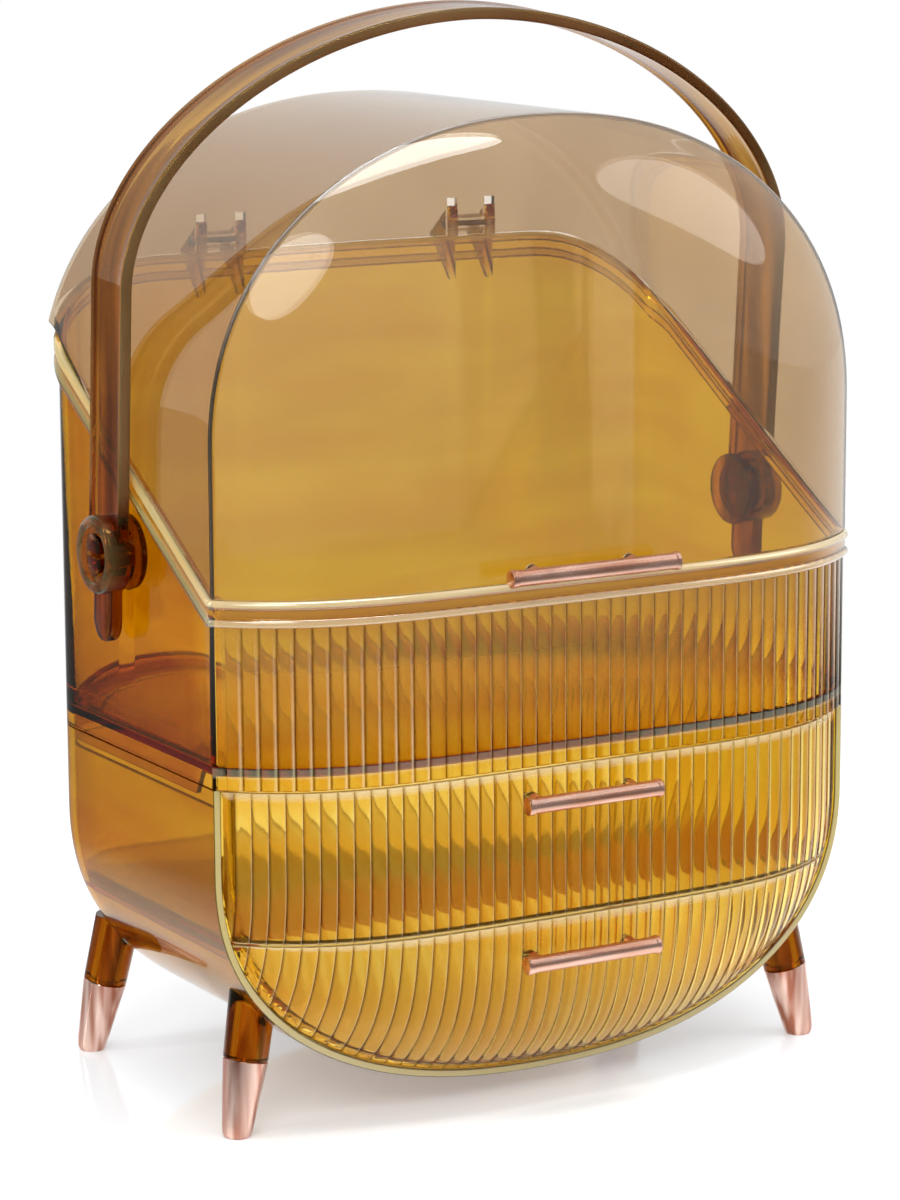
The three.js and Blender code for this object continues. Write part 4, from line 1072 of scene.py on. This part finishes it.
# legs
legs = {
    "footX": 132.6, "frontFootY": -66.1, "backFootY": 66.1, "splayX": 0.2, "splayY": 0.1,
    "tipLength": 30.0, "jointRadius": 8.9, "jointRound": 0.4, "topRadius": 10.0, "topHeight": 58.0,
    "studRadius": 4.0, "studSunk": 4.0, "studTop": 70.0, "studBite": 2.4,
    # the tip's closed end, (height, radius), and its sides, which swell a little up to the joint
    "tipEnd": [(-1.6, 0.5), (-1.55, 2.2), (-1.2, 3.6), (-0.5, 4.7), (0.4, 5.35), (1.6, 5.75), (4.0, 6.15)],
    "tipSwell": 2.75, "tipRound": 0.3,
}


def bellyBlock(inset):
    stations = [(inset, -160.0)] + backRound(inset, shared["backRadius"], [-100.0])
    return loft([[(x, y, z) for x, z in bellyLine(i, 170.0)] for i, y in stations])


def trimTo(piece, z0, z1):
    combine(piece, "INTERSECT", slab([(-200, -200), (200, -200), (200, 200), (-200, 200)], "z", z0, z1))


joint = legs["tipLength"]
low, bore = joint + shared["gap"], legs["studRadius"] + shared["gap"]
beyond = legs["topHeight"] + joint  # sleeves and studs run on to here before they are trimmed
jointRadius, jointRound = legs["jointRadius"], legs["jointRound"]
sleeve = [(low, bore), (low, jointRadius - jointRound), (low + jointRound, jointRadius)]
sleeve += [(beyond, legs["topRadius"]), (beyond, bore)]
endHeight, endRadius = legs["tipEnd"][-1]
tipProfile = list(legs["tipEnd"])
for k in range(1, 8):
    tipProfile.append((joint * k / 8 + endHeight * (1 - k / 8), endRadius + legs["tipSwell"] * k / 8))
tipProfile += [(joint - legs["tipRound"], 8.87), (joint, 8.6)]
studProfile = [(joint - legs["studSunk"], legs["studRadius"]), (120.0, legs["studRadius"])]
for end, sy, footY in (("front", -1, legs["frontFootY"]), ("back", 1, legs["backFootY"])):
    for word, sx in (("left", -1), ("right", 1)):
        foot = (sx * legs["footX"], footY, 0.0)
        up = (-sx * legs["splayX"], -sy * legs["splayY"], 1.0)
        stem = makeMesh("stem-sleeve-" + end + "-" + word, turned(sleeve, foot, up, 64, hollow=True))
        combine(stem, "DIFFERENCE", bellyBlock(-shared["gap"]))
        trimTo(stem, 0.0, legs["topHeight"])
        finish(stem, sleeveStyrene, "base", ["leg_stem_" + end + "_" + word])
        tip = makeMesh("tip-cap-" + end + "-" + word, turned(tipProfile, foot, up, 64))
        trimTo(tip, 0.0, legs["studTop"])
        stud = makeMesh("stud", turned(studProfile, foot, up, 40))
        combine(stud, "DIFFERENCE", bellyBlock(legs["studBite"]))
        trimTo(stud, 0.0, legs["studTop"])
        combine(tip, "UNION", stud)
        finish(tip, turnedGold, "base", ["leg_tip_" + end + "_" + word])
print("legs made")

# handle
handle = {
    "halfWidth": 153.2, "springHeight": 326.0, "topHeight": 429.5, "power": 1.9, "steps": 72,
    "thickness": 4.8, "band": 28.0, "lean": 4.0, "edge": 1.4, "dish": 0.8, "rimWidth": 3.2,
    "ringRadius": 15.5, "ringProud": 4.8, "recessRadius": 11.0, "recessDepth": 3.0,
    "tongueWidth": 17.0, "tongueDrop": 35.0, "tongueRound": 0.8, "hole": 6.4,
    "bandPale": 0.16, "ringPale": 0.12,
}


# the hoop in x and z above its pivot, drawn in by inset
def hoopLine(inset):
    half = handle["halfWidth"] - inset
    spring = handle["springHeight"] - shared["pivotHeight"]
    rise = handle["topHeight"] - handle["springHeight"] - inset
    line = [(half, spring * k / 8) for k in range(8)]
    line += [(x, spring + v) for x, v in quarter(half, rise, handle["power"], 0.0, handle["steps"])]
    return bothSides(line)


# the band's section: rounded edges and a shallow dish between two raised rims, outside and inside
def bandSection():
    t, w, e = handle["thickness"], handle["band"] / 2, handle["edge"]
    flat = w - e
    outside = []
    for k in range(13):
        y = -flat + 2 * flat * k / 12
        ramp = unit((flat - abs(y)) / handle["rimWidth"])
        outside.append((handle["dish"] * ramp * ramp * (3 - 2 * ramp), y))
    turns = [pi / 2 * k / 6 for k in range(1, 6)]
    corner = [(e * (1 - cos(a)), flat + e * sin(a)) for a in turns]
    side = corner + [(e, w), (t - e, w)] + [(t - o, y) for o, y in reversed(corner)]
    inside = [(t - o, y) for o, y in reversed(outside)]
    return outside + side + inside + [(o, -y) for o, y in reversed(side)]


edges = [[(x, y, z) for x, z in hoopLine(inset)] for inset, y in bandSection()]
hoop = makeMesh("handle-hoop", loft([list(row) for row in zip(*edges)]))
w = handle["tongueWidth"] / 2
tongueLine = arc(0, w - handle["tongueDrop"], w, 0, -pi, 24) + [(-w, 4.0), (w, 4.0)]
inner = handle["halfWidth"] - handle["thickness"]
width = handle["halfWidth"] + handle["ringProud"] - inner
r, bowl = handle["ringRadius"], handle["recessRadius"]
ring = [(0, r), (width - 1.6, r), (width - 1.0, r - 0.25), (width - 0.4, r - 0.8), (width, r - 1.6)]
recess = [(width - handle["recessDepth"], bowl - 0.4), (width - 2.6, bowl)]
recess += [(width - 0.8, bowl), (width + 2, bowl + 2.6)]
hole = [(-5, handle["hole"]), (30, handle["hole"])]
for side in (-1, 1):
    ends = sorted((side * inner, side * handle["halfWidth"]))
    combine(hoop, "UNION", slab(tongueLine, "x", *ends), bevel=handle["tongueRound"])
    for how, profile, steps in (("UNION", ring, 72), ("DIFFERENCE", recess, 64), ("DIFFERENCE", hole, 48)):
        combine(hoop, how, turned(profile, (side * inner, 0, 0), (side, 0, 0), steps))


# painted highlight: the raised edges of the band and the rings are painted as pale gold lines, where they
# would catch the light
def hoopPaintedHighlight(x, y, z):
    if z > handle["ringRadius"] + 2:
        return handle["bandPale"] if abs(y) > handle["band"] / 2 - handle["edge"] - 0.1 else 0.0
    return handle["ringPale"] if abs(x) > handle["halfWidth"] + 1 else 0.0


markPoints(hoop, "paintedHighlightShare", hoopPaintedHighlight)
lean = Matrix.Rotation(radians(handle["lean"]), 4, "X")
lift = Matrix.Translation(place(0, 0, shared["pivotHeight"]))
hoop.data.transform(lift @ lean @ Matrix.Translation(-place(0, 0, 0)))
finish(hoop, brownStyrene, "handle", ["handle_bow"])

# studs that carry the handle
studs = {
    "radius": 5.8, "flangeRadius": 15.0, "flangeThickness": 2.5, "flangeRound": 0.5, "headHeight": 17.0,
    "headWidth": 12.0, "headThickness": 2.2, "headRound": 0.6, "shankLap": 0.9, "slit": 2.0, "slitDepth": 9.0,
}
# hinge pins, with a domed head at the outer end
pins = {
    "radius": 1.7, "endRadius": 1.4,
    "head": [(0, 2.4), (0.2, 2.6), (0.8, 2.4), (1.2, 1.7), (1.4, 0.6)],  # past the outer fin, and radius
}
headNear = handle["halfWidth"] + handle["ringProud"] - handle["recessDepth"] + shared["gap"]
headFar = headNear + studs["headThickness"]
flangeNear = shared["halfWidth"] - shared["wall"] - shared["gap"] - studs["flangeThickness"]
f, r, thick = studs["flangeRadius"], studs["radius"], studs["flangeThickness"]
shank = [(0, f - studs["flangeRound"]), (studs["flangeRound"], f), (thick, f), (thick, r)]
shank.append((headNear - flangeNear + studs["shankLap"], r))
# oblong head with round ends
w, h = studs["headWidth"] / 2, studs["headHeight"] / 2
headLine = arc(0, h - w, w, 0, pi, 24)
headLine += [(-y, -z) for y, z in headLine]
headLine = [(y, z + shared["pivotHeight"]) for y, z in headLine]
low = shared["pivotHeight"] - studs["slit"] / 2
slitLine = [(-12, low), (12, low), (12, low + studs["slit"]), (-12, low + studs["slit"])]
pinNear = shared["hingeSpacing"] / 2 - tray["finSpacing"] / 2 - tray["finThickness"] / 2 - shared["gap"]
pinLength = tray["finSpacing"] + tray["finThickness"] + 2 * shared["gap"]
pin = [(0, pins["endRadius"]), (shared["gap"], pins["radius"]), (pinLength, pins["radius"])]
pin += [(pinLength + along, radius) for along, radius in pins["head"]]
for side, word in ((-1, "left"), (1, "right")):
    start = (side * flangeNear, 0, shared["pivotHeight"])
    stud = makeMesh("stud-moulding-" + word, turned(shank, start, (side, 0, 0), 64))
    ends = sorted((side * headNear, side * headFar))
    combine(stud, "UNION", slab(headLine, "x", *ends), bevel=studs["headRound"])
    ends = sorted((side * (headFar - studs["slitDepth"]), side * (headFar + 10)))
    combine(stud, "DIFFERENCE", slab(slitLine, "x", *ends))
    finish(stud, brownStyrene, "base", ["handle_stud_" + word])
    start = (side * pinNear, shared["hingeY"], shared["hingeHeight"])
    hingePin = makeMesh("hinge-pin-" + word + "-turned", turned(pin, start, (side, 0, 0), 32))
    finish(hingePin, zincSteel, "base", ["hinge_pin_" + word])
print("handle, studs and pins made")

# studio
studio = {
    "floorColour": "#EEF1F4", "floorSize": 8.0, "floorLift": 0.24, "floorDimmed": 0.85, "duskShade": 0.05,
    "plainFrom": 0.3, "plainTo": 0.75,  # metres from the middle, where the floor turns plain white
    "dimFrom": 0.12, "dimTo": 0.4, "floorBright": (0.8, 0.6, 0.0), "brightFrom": 0.5, "brightTo": 0.85,
    "skyBehind": 0.85, "skyNear": 0.2,  # what the surfaces mirror, behind the object and on the camera's side
    "skyBright": (0.75, 0.65, 0.1), "skyFrom": -0.25, "skyTo": 0.5,
    "lamps": [
        # name, place, size, watts
        ("soft key", (-2.6, -3.2, 3.6), (2.6, 2.6), 60.0),
        ("soft fill", (3.2, -1.8, 2.2), (2.4, 2.4), 26.0),
        ("left strip", (-1.6, 0.3, 0.9), (0.1, 1.2), 5.0),
        ("top strip", (0.0, -0.5, 2.2), (1.6, 0.45), 16.0),
    ],
}


# rays that a surface mirrors, without those that then pass on through a wall
def mirroredRays(tree, seen):
    return mathOf(tree, "SUBTRACT", seen["Is Glossy Ray"], seen["Is Transmission Ray"], clamp=True)


def mixShaders(tree, share, a, b):
    return addNode(tree, "MixShader", {0: share, 1: a, 2: b}).outputs["Shader"]


def emission(tree, strength):
    return addNode(tree, "Emission", {"Color": (1, 1, 1, 1), "Strength": strength}).outputs["Emission"]


def dotWith(tree, vector, direction):
    node = addNode(tree, "VectorMath", {"operation": "DOT_PRODUCT", 0: vector, 1: direction})
    return node.outputs["Value"]


floorMesh = bpy.data.meshes.new("floor")
reach = studio["floorSize"] / 2
corners = [(x * reach, y * reach, 0) for x, y in ((-1, -1), (1, -1), (1, 1), (-1, 1))]
floorMesh.from_pydata(corners, [], [(0, 1, 2, 3)])
floor = bpy.data.objects.new("floor", floorMesh)
scene.collection.objects.link(floor)
floorPaint, tree = newMaterial("floor, pale satin laminate")
grit = addNode(tree, "TexNoise", {"Scale": 400.0, "Detail": 3.0}).outputs["Fac"]
paint = {"Base Color": colour(studio["floorColour"]), "Specular IOR Level": 0.5}
paint["Roughness"] = mapRange(tree, grit, 0.0, 1.0, 0.06, 0.12)
seen = addNode(tree, "LightPath").outputs
direct = mathOf(tree, "MAXIMUM", seen["Is Camera Ray"], seen["Is Glossy Ray"])
direct = mathOf(tree, "MAXIMUM", direct, seen["Is Transmission Ray"])
glow = emission(tree, mathOf(tree, "MULTIPLY", direct, studio["floorLift"]))
lit = addNode(tree, "AddShader", {0: addNode(tree, "BsdfPrincipled", paint).outputs["BSDF"], 1: glow})
# away from the object the floor turns plain white, so that no horizon shows
spot = addNode(tree, "TexCoord").outputs["Object"]
away = addNode(tree, "VectorMath", {"operation": "LENGTH", 0: spot}).outputs["Value"]
far = mapRange(tree, away, studio["plainFrom"], studio["plainTo"], how="SMOOTHSTEP")
plain = mixShaders(tree, mathOf(tree, "MULTIPLY", far, direct), lit.outputs["Shader"], emission(tree, 1.0))
# mirrored in the walls it is much dimmer, except behind and to the right, which keeps the amber deep
dusk = addNode(tree, "BsdfDiffuse", {"Color": (studio["duskShade"],) * 3 + (1.0,)}).outputs["BSDF"]
past = mapRange(tree, away, studio["dimFrom"], studio["dimTo"], 0.0, studio["floorDimmed"])
bearing = mathOf(tree, "DIVIDE", dotWith(tree, spot, studio["floorBright"]), away)
before = mapRange(tree, bearing, studio["brightFrom"], studio["brightTo"], 1.0, 0.0)
dim = mathOf(tree, "MULTIPLY", mathOf(tree, "MULTIPLY", mirroredRays(tree, seen), past), before)
addNode(tree, "OutputMaterial", {"Surface": mixShaders(tree, dim, plain, dusk)})
floorMesh.materials.append(floorPaint)

# white to the eye, through the plastics and as light; what the surfaces mirror is dimmer toward the camera
world = bpy.data.worlds.new("studio")
scene.world = world
world.use_nodes = True
tree = world.node_tree
tree.nodes.clear()
ahead = dotWith(tree, addNode(tree, "TexCoord").outputs["Generated"], studio["skyBright"])
ends = (studio["skyFrom"], studio["skyTo"], studio["skyNear"], studio["skyBehind"])
plain = mathOf(tree, "SUBTRACT", 1.0, mirroredRays(tree, addNode(tree, "LightPath").outputs))
level = mathOf(tree, "MAXIMUM", plain, mapRange(tree, ahead, *ends, how="SMOOTHSTEP"))
sky = addNode(tree, "Background", {"Strength": 1.0, "Color": level})
addNode(tree, "OutputWorld", {"Surface": sky.outputs["Background"]})

target = Vector((0, 0, 0.2))
for name, spot, size, watts in studio["lamps"]:
    lamp = bpy.data.lights.new(name, "AREA")
    lamp.shape = "ELLIPSE"
    lamp.size, lamp.size_y = size
    lamp.energy = watts
    holder = bpy.data.objects.new(name, lamp)
    holder.location = spot
    holder.rotation_euler = (target - Vector(spot)).to_track_quat("-Z", "Y").to_euler()
    scene.collection.objects.link(holder)

# camera, from a fit to the photograph
view = {
    "place": (-0.81217, -1.39206, 0.50485), "yaw": -0.52574, "pitch": -0.19345, "roll": -0.00451,
    "lens": 161.85,
}
yaw, pitch, roll = view["yaw"], view["pitch"], view["roll"]
toward = Vector((-sin(yaw) * cos(pitch), cos(yaw) * cos(pitch), sin(pitch)))
flat = Vector((cos(yaw), sin(yaw), 0))
above = flat.cross(toward)
right = flat * cos(roll) + above * sin(roll)
up = above * cos(roll) - flat * sin(roll)
lens = bpy.data.cameras.new("camera")
lens.sensor_fit = "HORIZONTAL"
lens.sensor_width = 36
lens.lens = view["lens"]
lens.clip_start = 0.05
camera = bpy.data.objects.new("camera", lens)
camera.matrix_world = Matrix.Translation(view["place"]) @ Matrix((right, up, -toward)).transposed().to_4x4()
scene.collection.objects.link(camera)
scene.camera = camera
scene.view_settings.view_transform = "Standard"
scene.cycles.max_bounces = 24
scene.cycles.transmission_bounces = 24
scene.cycles.glossy_bounces = 8
print("studio and camera ready")
